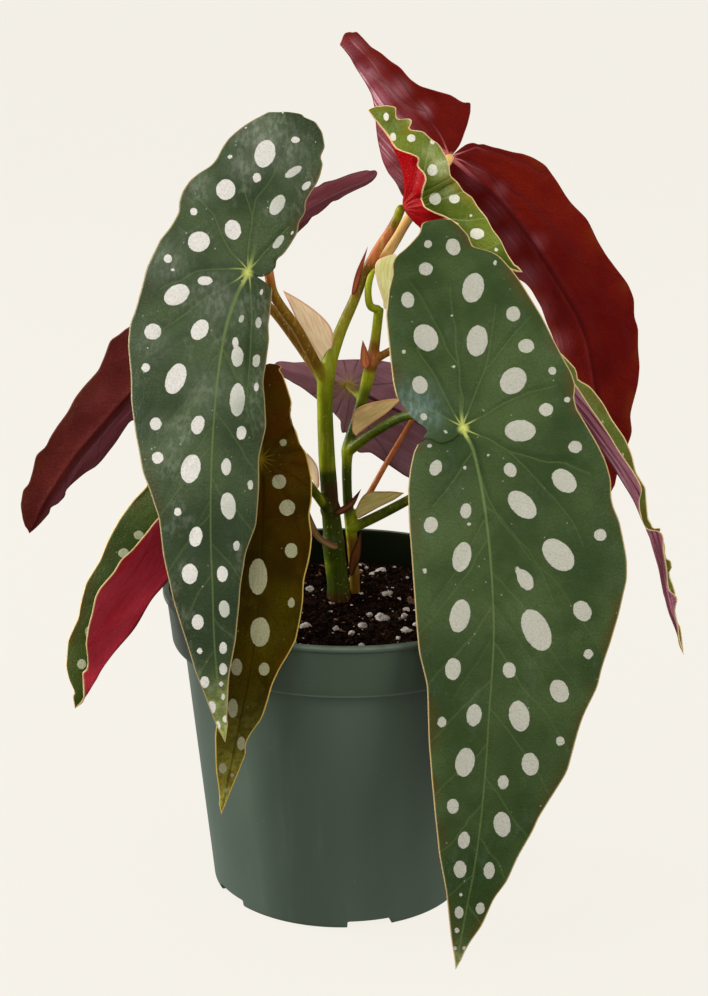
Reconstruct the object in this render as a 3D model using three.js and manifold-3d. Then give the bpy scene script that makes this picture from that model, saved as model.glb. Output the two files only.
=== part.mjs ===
// A polka dot begonia in a round nursery pot. Millimetres, +Z up, seen from -Y.
// The origin is the centre of the pot's flat underside, on the surface it stands on.
import * as THREE from "three";
import { mergeVertices } from "three/addons/utils/BufferGeometryUtils.js";
import Module from "manifold-3d";

const wasm = await Module();
wasm.setup();

// Pot
const potHeight = 96.6;
const lipRadius = 55;
const bandFoot = 80.1; // height of the underside of the rim band
const bandRadius = 52.2;
const bodyRadius = 48.7; // just under the band
const footRadius = 39.75;
const wall = 1.4;
const floorThickness = 2;
const lipHeight = 1.6;
const lipStand = 1.1; // how far the lip stands out of the band
const potSides = 44;
const notchCount = 5;
const notchWidth = 14;
const notchHeight = 2.4;
const notchReach = 7; // from the foot's edge inwards
const notchTurn = -76; // degrees, the notch in front

// Soil
const soilLevel = 86;
const soilRings = 6;
const lumpHeight = 1.5;
const bitCounts = { perlite: 24, bark: 8 };
const bitsReach = 46; // how far out from the middle they lie
const bitsClearOfCanes = 10;
const barkSize = 2.6;
const smallestPerlite = 1.3; // radii, up to 1 more

// Plant
const gap = 0.35; // between touching pieces
const stalkGap = 0.55; // from a stalk's end to the blade, which is hollow there
const stalkTip = 0.9; // radius of a stalk's end
const stalkApproach = 3; // the straight stretch with which a stalk meets its blade
const bladeThickness = 0.7;
const bladeCurl = -12; // degrees by which a half bends away over bladeCurlWidth, unless its leaf says
const bladeCurlWidth = 30;
const marginWave = 0.5; // height of the waves along a margin
const marginWaves = 2.1; // radians of it from one station to the next
const slitReach = 2; // stations above and below the slit that part from each other
const sheathThickness = 0.6;
const rowsPerStation = 2;
const leafColumns = 3; // on each side of the midrib
const sheathColumns = 2;
const petioleSides = 6;
const caneSides = 9;
const caneFoot = 62; // how deep the canes stand in the soil

const rad = THREE.MathUtils.degToRad;
const vec = (x, y, z) => new THREE.Vector3(x, y, z);

function randomFrom(seed) {
  let state = seed;
  return () => {
    state = (state * 1664525 + 1013904223) % 4294967296;
    return state / 4294967296;
  };
}

// Closed meshes and solids

function geometryOf(points, faces) {
  const geometry = new THREE.BufferGeometry().setFromPoints(points);
  geometry.setIndex(faces.flat());
  return geometry;
}

function solidOf(geometry) {
  const bare = new THREE.BufferGeometry();
  bare.setAttribute("position", geometry.getAttribute("position").clone());
  if (geometry.index) bare.setIndex(geometry.index);
  const merged = mergeVertices(bare, 1e-4);
  const corners = merged.index.array;
  const faces = [];
  for (let i = 0; i < corners.length; i += 3) {
    const [a, b, c] = corners.slice(i, i + 3);
    if (a !== b && b !== c && c !== a) faces.push([a, b, c]);
  }
  const vertProperties = new Float32Array(merged.attributes.position.array);
  const make = (list) => {
    const triVerts = new Uint32Array(list.flat());
    return new wasm.Manifold(new wasm.Mesh({ numProp: 3, vertProperties, triVerts }));
  };
  const solid = make(faces);
  return solid.volume() < 0 ? make(faces.map(([a, b, c]) => [a, c, b])) : solid;
}

function geometryFrom(solid) {
  const mesh = solid.getMesh();
  const geometry = new THREE.BufferGeometry();
  geometry.setAttribute("position", new THREE.BufferAttribute(new Float32Array(mesh.vertProperties), 3));
  geometry.setIndex(new THREE.BufferAttribute(new Uint32Array(mesh.triVerts), 1));
  geometry.computeVertexNormals();
  return geometry;
}

const root = new THREE.Group();

function addPiece(name, geometry, color, roughness) {
  const material = new THREE.MeshStandardMaterial({ color, roughness, metalness: 0 });
  const mesh = new THREE.Mesh(geometry, material);
  mesh.name = name;
  root.add(mesh);
}

// A round tube through points [x, y, z, radius], closed by flat ends.
function tube(points, sides, stepsPerPoint = 2) {
  const curve = new THREE.CatmullRomCurve3(points.map((p) => vec(p[0], p[1], p[2])), false, "centripetal");
  const steps = (points.length - 1) * stepsPerPoint;
  const places = [];
  const radii = [];
  for (let i = 0; i <= steps; i++) {
    const along = i / stepsPerPoint;
    const k = Math.min(Math.floor(along), points.length - 2);
    places.push(curve.getPoint(i / steps));
    radii.push(THREE.MathUtils.lerp(points[k][3], points[k + 1][3], along - k));
  }
  const tangents = places.map((_, i) =>
    places[Math.min(i + 1, steps)].clone().sub(places[Math.max(i - 1, 0)]).normalize());
  let across = vec(0, 1, 0).cross(tangents[0]);
  if (across.length() < 0.1) across = vec(1, 0, 0).cross(tangents[0]);
  const vertices = [];
  const faces = [];
  places.forEach((place, i) => {
    const tangent = tangents[i];
    across = across.addScaledVector(tangent, -across.dot(tangent)).normalize();
    const other = tangent.clone().cross(across);
    for (let j = 0; j < sides; j++) {
      const turn = (2 * Math.PI * j) / sides;
      vertices.push(place.clone()
        .addScaledVector(across, radii[i] * Math.cos(turn))
        .addScaledVector(other, radii[i] * Math.sin(turn)));
    }
  });
  for (let i = 0; i < steps; i++) {
    for (let j = 0; j < sides; j++) {
      const a = i * sides + j;
      const b = i * sides + ((j + 1) % sides);
      faces.push([a, b, b + sides], [a, b + sides, a + sides]);
    }
  }
  const first = vertices.push(places[0]) - 1;
  const last = vertices.push(places[steps]) - 1;
  for (let j = 0; j < sides; j++) {
    const next = (j + 1) % sides;
    faces.push([first, next, j], [last, steps * sides + j, steps * sides + next]);
  }
  return geometryOf(vertices, faces);
}

// Blades. A leaf is a list of stations along its midrib, from the end of the basal lobes
// to the tip. Each is [x, y, z, left width, left turn, right width, right turn]: the point
// on the midrib, and how wide each half is there and by how many degrees it is turned from
// the plane that faces -Y, towards -Y where positive. joint is the station where the stalk
// joins, slit the side on which the lobes part there, and under the side of the underside.
const leftWidth = 3;
const rightWidth = 5;

// A value of the stations at a place between them. The widths open roundly at the lobes' end.
function between(rows, at, column) {
  const k = Math.min(Math.floor(at), rows.length - 2);
  const t = at - k;
  const isWidth = column === leftWidth || column === rightWidth;
  if (k === 0 && isWidth) return rows[1][column] * t ** 0.6;
  const row = (i) => rows[Math.max(0, Math.min(i, rows.length - 1))][column];
  const [a, b, c, d] = [row(k - 1), row(k), row(k + 1), row(k + 2)];
  const value = 0.5 * (2 * b + (c - a) * t + (2 * a - 5 * b + 4 * c - d) * t * t
    + (3 * b - a - 3 * c + d) * t * t * t);
  return isWidth ? Math.max(value, 0) : value;
}

function frameAt(leaf, at) {
  const rows = leaf.stations;
  const place = (p) => vec(between(rows, p, 0), between(rows, p, 1), between(rows, p, 2));
  const end = rows.length - 1;
  const along = place(Math.min(at + 1, end)).sub(place(Math.max(at - 1, 0))).normalize();
  const across = along.clone().cross(vec(0, 1, 0)).normalize();
  return { place: place(at), along, across, facing: along.clone().cross(across) };
}

// The point a share of the way out on one half, side -1 or 1, with its curl and margin wave.
function bladePoint(leaf, at, side, share) {
  const column = side < 0 ? leftWidth : rightWidth;
  const frame = frameAt(leaf, at);
  const fullWidth = between(leaf.stations, at, column);
  const width = fullWidth * share;
  const turn = rad(between(leaf.stations, at, column + 1));
  const curl = rad(leaf.curl ?? bladeCurl) / (leaf.curlWidth ?? bladeCurlWidth);
  const end = turn + curl * width;
  const out = curl ? (Math.sin(end) - Math.sin(turn)) / curl : width * Math.cos(turn);
  const up = curl ? (Math.cos(turn) - Math.cos(end)) / curl : width * Math.sin(turn);
  const wave = (leaf.wave ?? marginWave) * share * share * Math.min(1, fullWidth / 8)
    * Math.sin(at * (leaf.waves ?? marginWaves) + side * 1.3);
  return frame.place
    .addScaledVector(frame.across, side * (out - wave * Math.sin(end)))
    .addScaledVector(frame.facing, up + wave * Math.cos(end));
}

// How far the lobe and the blade below it stand back from the slit, in stations.
function slitShift(leaf, at, share) {
  const fade = Math.max(0, 1 - Math.abs(leaf.joint - at) / slitReach);
  if (at < leaf.joint) return -(leaf.lobeRound ?? 0.5) * share ** 3 * fade;
  return (0.05 + 0.3 * share * share) * share * fade;
}

// A blade's middle surface. Each end is one point, and on the slit side the joint's row is double.
function sheetOf(leaf, rowsEach, columns) {
  const rowCount = (leaf.stations.length - 1) * rowsEach;
  const slitRow = leaf.slit ? leaf.joint * rowsEach : -1;
  const points = [];
  const index = new Map();
  const corner = (i, j, below) => {
    const atEnd = i === 0 || i === rowCount;
    const split = i === slitRow && j * leaf.slit > 0;
    const key = atEnd ? "end" + i : i + "," + j + (split && below ? "b" : "");
    if (!index.has(key)) {
      const share = atEnd ? 0 : Math.abs(j) / columns;
      const side = j < 0 ? -1 : 1;
      let at = i / rowsEach;
      if (leaf.slit && side === leaf.slit) {
        const near = split && !below ? at - 1e-6 : at;
        at += slitShift(leaf, near, share);
      }
      index.set(key, points.push(bladePoint(leaf, at, side, share)) - 1);
    }
    return index.get(key);
  };
  const faces = [];
  for (let i = 0; i < rowCount; i++) {
    for (let j = -columns; j < columns; j++) {
      const a = corner(i, j, true);
      const b = corner(i + 1, j, false);
      const c = corner(i + 1, j + 1, false);
      const d = corner(i, j + 1, true);
      if (i > 0) faces.push([a, b, d]);
      if (i < rowCount - 1) faces.push([d, b, c]);
    }
  }
  return { points, faces };
}

function normalsOf({ points, faces }) {
  const normals = points.map(() => vec(0, 0, 0));
  for (const [a, b, c] of faces) {
    const normal = points[b].clone().sub(points[a]).cross(points[c].clone().sub(points[a]));
    for (const k of [a, b, c]) normals[k].add(normal);
  }
  return normals.map((n) => n.normalize());
}

// The sheet given its thickness, with the same triangles on both faces.
function thickened(sheet, thickness) {
  const normals = normalsOf(sheet);
  const count = sheet.points.length;
  const shifted = (by) => sheet.points.map((p, i) => p.clone().addScaledVector(normals[i], by));
  const vertices = [...shifted(thickness / 2), ...shifted(-thickness / 2)];
  const faces = [];
  const open = new Map();
  for (const [a, b, c] of sheet.faces) {
    faces.push([a, b, c], [a + count, c + count, b + count]);
    for (const [u, v] of [[a, b], [b, c], [c, a]]) {
      if (open.has(v + "," + u)) open.delete(v + "," + u);
      else open.set(u + "," + v, [u, v]);
    }
  }
  for (const [u, v] of open.values()) faces.push([v, u, u + count], [v, u + count, v + count]);
  return geometryOf(vertices, faces);
}

const leaves = {
  leaf_front_left: {
    color: 0x2f4a37, under: -1, joint: 5, slit: 1, curl: -14,
    stations: [
      [-17, 2, 240, 0, -6, 0, -10],
      [-17, 1, 237, 8, -6, 9, -10],
      [-19, -2, 230, 14, -6, 12, -12],
      [-22, -7, 219, 20, -6, 12, -14],
      [-25, -12, 208, 24, -6, 10, -16],
      [-28, -18, 197, 28, -6, 8, -18],
      [-31, -21, 191, 28, -6, 12, -18],
      [-34, -26, 182, 28, -6, 14, -18],
      [-36, -35, 168, 26, -6, 16, -18],
      [-37, -43, 151, 22, -6, 15, -18],
      [-37, -52, 133, 15, -6, 14, -18],
      [-36, -61, 115, 11, -6, 9, -18],
      [-35, -67, 98, 7, -6, 5, -15],
      [-33, -71, 83, 3, -6, 2, -10],
      [-32, -73, 75, 0, 0, 0, 0],
    ],
  },
  leaf_front_right: {
    color: 0x2c4535, under: -1, joint: 6, slit: -1, lobeRound: 0.6, curl: -8,
    stations: [
      [28, -12, 212, 0, -4, 0, -8],
      [28, -13, 209, 8, -4, 6, -8],
      [29, -15, 201, 16, -4, 13, -8],
      [31, -19, 190, 19, -4, 23, -8],
      [32, -24, 178, 19, -4, 29, -8],
      [33, -29, 166, 18, -4, 34, -8],
      [34, -34, 156, 18, -4, 34, -8],
      [37, -37, 150, 18, -4, 34, -8],
      [40, -43, 137, 22, -4, 38, -8],
      [42, -51, 121, 23, -4, 41, -8],
      [43, -58, 102, 22, -4, 37, -8],
      [42, -64, 82, 18, -4, 29, -8],
      [41, -68, 61, 15, -4, 22, -8],
      [39, -71, 39, 10, -4, 12, -8],
      [36, -72, 19, 4, -4, 5, -8],
      [34, -73, 5, 0, 0, 0, 0],
    ],
  },
  leaf_low_left_olive: {
    color: 0x4a4420, under: -1, joint: 4, slit: 1,
    stations: [
      [-22, -10, 168, 0, -10, 0, -10],
      [-22, -11, 167, 2, -10, 4, -10],
      [-22, -15, 160, 5, -10, 7, -10],
      [-23, -21, 151, 11, -10, 9, -10],
      [-24, -27, 144, 16, -10, 13, -10],
      [-23, -32, 138, 17, -10, 14, -10],
      [-23, -40, 127, 18, -10, 14, -10],
      [-23, -50, 115, 17, -10, 13, -10],
      [-24, -57, 103, 15, -10, 12, -10],
      [-26, -61, 89, 11, -10, 8, -10],
      [-29, -62, 74, 7, -10, 5, -10],
      [-32, -61, 58, 4, -10, 2, -10],
      [-34, -60, 47, 0, 0, 0, 0],
    ],
  },
  leaf_top_right: {
    color: 0x5a1412, under: 1, joint: 5, slit: 1,
    stations: [
      [-1, 36, 259, 0, -20, 0, -10],
      [1, 35, 256, 4, -20, 3, -10],
      [7, 34, 250, 5, -25, 5, -10],
      [14, 32, 240, 10, -30, 8, -10],
      [23, 31, 230, 18, -30, 16, -10],
      [31, 30, 223, 25, -30, 14, -10],
      [36, 30, 219, 29, -30, 10, -10],
      [47, 32, 209, 31, -30, 17, -10],
      [56, 35, 198, 27, -35, 17, -12],
      [66, 39, 183, 14, -40, 18, -14],
      [75, 43, 167, 12, -40, 19, -14],
      [80, 46, 148, 9, -40, 15, -14],
      [84, 47, 130, 5, -40, 9, -14],
      [84, 46, 117, 2, -30, 4, -14],
      [84, 45, 109, 0, 0, 0, 0],
    ],
  },
  leaf_top_young: {
    color: 0x7c1a18, under: -1, joint: 5, slit: 0, curl: -14, curlWidth: 14, wave: 0.9, waves: 3.4,
    stations: [
      [6, 9, 240, 0, 140, 0, -15],
      [8, 8, 236, 2, 140, 7, -15],
      [11, 7, 230, 4, 140, 11, -15],
      [14, 7, 223, 9, 140, 16, -15],
      [16, 8, 217, 10, 140, 17, -15],
      [17, 9, 211, 9, 140, 17, -15],
      [23, 8, 205, 10, 140, 18, -18],
      [31, 6, 200, 10, 140, 16, -20],
      [39, 4, 197, 7, 140, 11, -20],
      [47, 2, 195, 3, 140, 4, -20],
      [52, 1, 194, 0, 0, 0, 0],
    ],
  },
  leaf_far_left: {
    color: 0x4a1614, under: 1, joint: 5, slit: -1,
    stations: [
      [9, 44, 216, 0, -20, 0, -30],
      [6, 43, 214, 2, -20, 2, -30],
      [-2, 40, 211, 3, -20, 3, -30],
      [-14, 36, 205, 6, -20, 5, -30],
      [-27, 32, 197, 9, -20, 10, -32],
      [-38, 28, 189, 10, -20, 17, -34],
      [-46, 27, 179, 11, -20, 20, -35],
      [-56, 26, 163, 13, -20, 15, -35],
      [-66, 24, 150, 12, -20, 10, -35],
      [-76, 22, 139, 11, -20, 10, -35],
      [-85, 20, 128, 9, -18, 8, -30],
      [-92, 18, 117, 7, -15, 4, -25],
      [-96, 17, 109, 4, -10, 1, -15],
      [-98, 17, 106, 0, 0, 0, 0],
    ],
  },
  leaf_low_left_red: {
    color: 0x8e1b26, under: -1, joint: 2, slit: 0, curl: -14, curlWidth: 20,
    stations: [
      [-25, -10, 158, 0, -12, 0, 140],
      [-28, -10, 154, 7, -12, 3, 140],
      [-32, -12, 148, 11, -12, 6, 140],
      [-38, -13, 133, 17, -12, 10, 140],
      [-45, -14, 118, 20, -12, 16, 140],
      [-52, -15, 104, 21, -12, 21, 140],
      [-58, -16, 96, 19, -12, 21, 140],
      [-64, -16, 86, 18, -12, 17, 140],
      [-71, -16, 77, 14, -12, 10, 140],
      [-76, -16, 68, 8, -12, 3, 140],
      [-81, -16, 61, 0, 0, 0, 0],
    ],
  },
  leaf_far_right: {
    color: 0x7a3a44, under: -1, joint: 2, slit: 0, curl: -10, curlWidth: 12,
    stations: [
      [32, 5, 185, 0, 140, 0, -15],
      [35, 5, 183, 3, 140, 5, -15],
      [39, 4, 179, 5, 140, 8, -15],
      [49, 4, 170, 7, 140, 9, -15],
      [60, 3, 161, 8, 140, 9, -15],
      [70, 2, 150, 7, 140, 9, -15],
      [80, 1, 137, 6, 140, 8, -15],
      [86, 0, 128, 5, 140, 5, -15],
      [90, 0, 119, 3, 140, 3, -15],
      [95, -1, 108, 2, 140, 4, -15],
      [98, -2, 96, 2, 140, 3, -15],
      [102, -3, 84, 1, 140, 2, -15],
      [105, -4, 76, 0, 0, 0, 0],
    ],
  },
  leaf_back_centre: {
    color: 0x4f2a38, under: 1, joint: 3, slit: -1,
    stations: [
      [-22, 30, 158, 0, -10, 0, -30],
      [-17, 29, 156, 4, -10, 3, -30],
      [-9, 28, 154, 7, -10, 6, -30],
      [1, 27, 152, 11, -10, 9, -30],
      [8, 28, 148, 16, -10, 13, -30],
      [19, 30, 142, 17, -10, 16, -30],
      [30, 33, 134, 18, -10, 16, -30],
      [43, 36, 124, 17, -10, 14, -30],
      [56, 38, 112, 11, -10, 9, -30],
      [66, 38, 102, 0, 0, 0, 0],
    ],
  },
  leaf_low_right: {
    color: 0x33502f, under: -1, joint: 2, slit: 1,
    stations: [
      [29, 4, 137, 0, -10, 0, -20],
      [33, 4, 134, 4, -10, 4, -20],
      [38, 2, 130, 8, -10, 9, -20],
      [49, 0, 122, 9, -10, 11, -20],
      [60, -2, 110, 8, -10, 10, -20],
      [69, -4, 96, 5, -10, 7, -20],
      [76, -5, 81, 0, 0, 0, 0],
    ],
  },
  leaf_inner_right: {
    color: 0x35532f, under: -1, joint: 2, slit: 1,
    stations: [
      [25, 18, 169, 0, -10, 0, -10],
      [27, 18, 165, 4, -10, 6, -10],
      [29, 17, 159, 6, -10, 8, -10],
      [33, 15, 148, 9, -10, 10, -10],
      [38, 12, 135, 10, -10, 9, -10],
      [43, 10, 120, 7, -10, 6, -10],
      [46, 8, 107, 0, 0, 0, 0],
    ],
  },
};

const stalkEnds = {};
for (const [name, leaf] of Object.entries(leaves)) {
  const sheet = sheetOf(leaf, rowsPerStation, leafColumns);
  addPiece(name, thickened(sheet, bladeThickness), leaf.color, 0.45);
  // the point that the stalk holds, and the way out from it on the underside
  const middle = bladePoint(leaf, leaf.joint, 1, 0);
  const nearest = sheet.points.findIndex((p) => p.distanceTo(middle) < 1e-6);
  const out = normalsOf(sheet)[nearest].multiplyScalar(leaf.under);
  stalkEnds[name] = { middle, out };
}

// A leaf stalk: points [x, y, z, radius] from inside the cane, then in to the leaf's underside.
function stalk(points, leafName, radius = stalkTip) {
  const { middle, out } = stalkEnds[leafName];
  const end = middle.clone().addScaledVector(out, bladeThickness / 2 + stalkGap);
  const before = end.clone().addScaledVector(out, stalkApproach);
  return solidOf(tube([...points, [...before.toArray(), radius], [...end.toArray(), radius]], petioleSides));
}

// Canes

const leftCane = [
  [-1, 16.5, caneFoot, 3.4],
  [-1.5, 16, 87, 3.6],
  [-2.2, 16, 96, 3.4],
  [-3, 14.8, 103, 3.4],
  [-3.2, 14.5, 105.5, 3.6],
  [-3.3, 14.5, 108, 3.1],
  [-3.9, 14, 114, 2.9],
  [-4.1, 13.8, 116, 3.3],
  [-4.3, 13.5, 118.5, 2.7],
  [-5.3, 12, 132.4, 2.6],
  [-6, 10, 149, 2.4],
  [-5.9, 9, 156, 2.6],
  [-5.6, 8.3, 160.5, 2.8],
  [-4.2, 8.8, 166, 2.2],
  [-1.4, 10, 173.8, 1.8],
  [2.7, 11, 183.4, 1.6],
  [5.9, 12, 192.4, 1.5],
];
const rightCane = [
  [4.1, 22, caneFoot, 1.6],
  [3.8, 21.6, 87, 1.6],
  [3.1, 20, 98, 1.6],
  [2.4, 18.6, 107, 1.8],
  [1.7, 17.8, 113, 1.7],
  [1, 17, 121, 1.5],
  [0.8, 16, 131, 1.6],
  [1, 16, 134.5, 2],
  [1.6, 16, 138, 1.6],
  [3.4, 16, 144, 1.6],
  [5.8, 16, 152.7, 1.8],
  [7.4, 15, 160, 2],
  [8, 14.8, 163, 2.2],
  [8.6, 14.5, 166.5, 1.7],
  [9.2, 14, 171.4, 1.5],
  [10, 13, 180, 1.5],
];

// The stalks of each cane, from inside it to near the leaf, and the radius at the leaf.
const leftStalks = {
  leaf_front_left: [[-5.7, 8, 158, 1.8], [-8.6, 5.5, 164, 1.7], [-14, -0.5, 176, 1.6],
    [-21.5, -10, 189, 1.5]],
  leaf_far_left: [[-6.4, 9, 158, 1.6], [-13.7, 13.5, 167.5, 1.4], [-22.4, 16, 178.5, 1.4],
    [-31, 19, 185.5, 1.3]],
  leaf_top_young: [[5, 12, 190, 1.4], [9, 12, 197.5, 1.4], [13, 11.5, 204, 1.3]],
  leaf_top_right: [[5, 12, 190, 1.3], [12.5, 15.5, 196, 1.3], [18.7, 20, 204.9, 1.2]],
  leaf_low_left_olive: [[-3.9, 14, 114, 1.4], [-11, 4, 127, 1.4], [-18.5, -10, 137, 1.3]],
  leaf_low_left_red: [[-4, 13.5, 115, 1.3], [-9.4, 9, 124, 1.2], [-17, 3, 136, 1.1]],
};
const rightStalks = {
  leaf_front_right: [[1, 16, 134, 1.7], [8, 9.5, 141.5, 1.6], [18, -3, 150.8, 1.5], [27, -15, 155, 1.4]],
  leaf_far_right: [[8, 14.8, 163, 1.3], [14, 13, 167, 1.2], [25, 9.5, 173.5, 1.1]],
  leaf_back_centre: [[5.2, 16, 151, 1.2]],
  leaf_low_right: [[1.5, 18, 108, 1.7], [11.2, 15, 114, 1.6], [20, 12, 120, 1.5], [29, 9, 126.5, 1.2]],
  leaf_inner_right: [[1.6, 18, 110, 1.1], [6.3, 18.5, 117, 1], [13.2, 21.5, 129, 0.9],
    [20.2, 23.5, 141, 0.9]],
};
const tipRadii = { leaf_back_centre: 1, leaf_low_right: 0.7, leaf_inner_right: 0.8 };
const endBud = [[10, 13, 179.5, 1.3], [7.6, 10.6, 181, 1.1], [5.6, 8.6, 184, 0.9], [5.2, 8, 188, 0.6]];

function caneSolid(cane, stalks) {
  let solid = solidOf(tube(cane, caneSides));
  for (const [leafName, points] of Object.entries(stalks)) {
    solid = solid.add(stalk(points, leafName, tipRadii[leafName]));
  }
  return solid;
}

const rightCaneSolid = caneSolid(rightCane, rightStalks).add(solidOf(tube(endBud, petioleSides)));
addPiece("cane_left", geometryFrom(caneSolid(leftCane, leftStalks)), 0x5c7a35, 0.5);
addPiece("cane_right", geometryFrom(rightCaneSolid), 0x4f7030, 0.5);

// The papery sheaths at the joints of the canes, each from its foot to its tip.
const sheaths = {
  sheath_fork_pink: {
    color: 0xcdb49a, stations: [
      [-8.2, 9.4, 163.8, 0, 0, 0, 0],
      [-9, 9, 166.2, 2, 10, 1, 0],
      [-11.5, 7.5, 172.6, 7, 15, 1, 0],
      [-14.2, 6, 179.2, 5, 10, 1, 0],
      [-18.6, 4, 187, 0, 0, 0, 0],
    ],
  },
  sheath_right_tan: {
    color: 0xb58e5c, stations: [
      [3.5, 13.3, 140, 0, 0, 0, 0],
      [4.4, 12.6, 141.8, 0.8, 0, 2.5, 0],
      [7.8, 8.7, 145.8, 0.8, 0, 6, 10],
      [12.2, 3.3, 150.6, 0.8, 0, 5, 10],
      [17, -3.2, 156.2, 0, 0, 0, 0],
    ],
  },
  sheath_low_right: {
    color: 0xa79a68, stations: [
      [4.4, 16.4, 112.3, 0, 0, 0, 0],
      [6, 16, 114, 0.7, 0, 3, 0],
      [10.5, 14.6, 117.2, 0.7, 0, 5.5, 10],
      [15, 12.8, 120.2, 0.7, 0, 3, 10],
      [18.5, 11.2, 122.4, 0, 0, 0, 0],
    ],
  },
  sheath_left_beige: {
    color: 0xc2a988, stations: [
      [-8.2, 11.5, 123.5, 0, 0, 0, 0],
      [-8.5, 11, 125.5, 1, 30, 1, -30],
      [-9.8, 10, 130.5, 2, 30, 2, -30],
      [-11.4, 9, 135.5, 0, 0, 0, 0],
    ],
  },
  sheath_base_dry: {
    color: 0xa8703f, stations: [
      [-1.5, 10.1, 105, 0, 0, 0, 0],
      [-3, 10, 105.2, 1, 0, 1, 0],
      [-7.4, 9.4, 108, 1, 0, 1, 0],
      [-9.8, 9, 112.5, 1, 0, 1, 0],
      [-10.6, 9, 117, 0, 0, 0, 0],
    ],
  },
  sheath_thorn_dark: {
    color: 0x5d2f1c, stations: [
      [-2.6, 10.1, 116, 0, 0, 0, 0],
      [-1.2, 10.3, 116.4, 1, 0, 1, 0],
      [2.2, 11, 118.6, 1, 0, 1, 0],
      [5.3, 11, 123.6, 0, 0, 0, 0],
    ],
  },
  sheath_base_right: {
    color: 0x8a5a34, stations: [
      [2.4, 16, 93.5, 0, 0, 0, 0],
      [2.7, 15.6, 95.5, 1, 0, 1, 0],
      [3.4, 14.8, 101, 2, 0, 1, 0],
      [5.6, 14, 109, 0, 0, 0, 0],
    ],
  },
  sheath_upper_red: {
    color: 0x8f4a2c, stations: [
      [2, 8.2, 185, 0, 0, 0, 0],
      [2.6, 8.2, 186.8, 1, 0, 1, 0],
      [4.2, 8.8, 192, 1, 0, 2, 0],
      [6.4, 9.4, 199.5, 0, 0, 0, 0],
    ],
  },
  sheath_top_green: {
    color: 0xa8b368, stations: [
      [11.9, 11.6, 180, 0, 0, 0, 0],
      [12.4, 10.9, 182, 1, 0, 1, 0],
      [13.8, 9.6, 187, 2, 0, 1, 0],
      [13.6, 9, 192, 2, 0, 2, 0],
      [11.5, 8.6, 196, 0, 0, 0, 0],
    ],
  },
  sheath_right_red: {
    color: 0x9a5236, stations: [
      [6.2, 12.4, 161.5, 0, 0, 0, 0],
      [5.9, 12.2, 163, 1, 0, 1, 0],
      [5.6, 11.8, 166.5, 1, 0, 1, 0],
      [5.2, 11.4, 170.5, 0, 0, 0, 0],
    ],
  },
};
for (const [name, sheath] of Object.entries(sheaths)) {
  const blade = { ...sheath, curl: 0, wave: 0.25, joint: 0, slit: 0 };
  const sheet = sheetOf(blade, rowsPerStation, sheathColumns);
  addPiece(name, thickened(sheet, sheathThickness), sheath.color, 0.6);
}

// Pot: a turned shell with a rim band, a lip, and notches under its foot.
const bandInFoot = bandFoot + wall;
const bodyInside = bodyRadius - wall;
const bandInside = bandRadius - wall;
const lipInside = lipRadius - lipStand - wall;
const bandTop = potHeight - lipHeight;
const potProfile = [
  [0, 0],
  [footRadius - 1.2, 0],
  [footRadius - 0.3, 0.4],
  [footRadius, 1.4],
  [bodyRadius, bandFoot - 0.8],
  [bodyRadius + 0.6, bandFoot],
  [bandRadius - 0.5, bandFoot],
  [bandRadius, bandFoot + 0.6],
  [lipRadius - lipStand, bandTop - 0.4],
  [lipRadius - 0.3, bandTop],
  [lipRadius, bandTop + 0.5],
  [lipRadius, potHeight - 0.5],
  [lipRadius - 0.5, potHeight],
  [lipInside + 0.6, potHeight],
  [lipInside, potHeight - 0.6],
  [bandInside, bandInFoot],
  [bodyInside, bandFoot - 1],
  [footRadius - wall + 0.1, floorThickness],
  [0, floorThickness],
];
const shell = new THREE.LatheGeometry(potProfile.map(([r, z]) => new THREE.Vector2(r, z)), potSides);
shell.rotateX(Math.PI / 2);
let potSolid = solidOf(shell);
for (let i = 0; i < notchCount; i++) {
  const notch = new THREE.BoxGeometry(notchReach + 4, notchWidth, 2 * notchHeight);
  notch.translate(footRadius - notchReach / 2 + 2, 0, 0);
  notch.rotateZ(rad(notchTurn + (360 / notchCount) * i));
  potSolid = potSolid.subtract(solidOf(notch));
}
addPiece("pot", geometryFrom(potSolid), 0x3c5248, 0.42);

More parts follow.
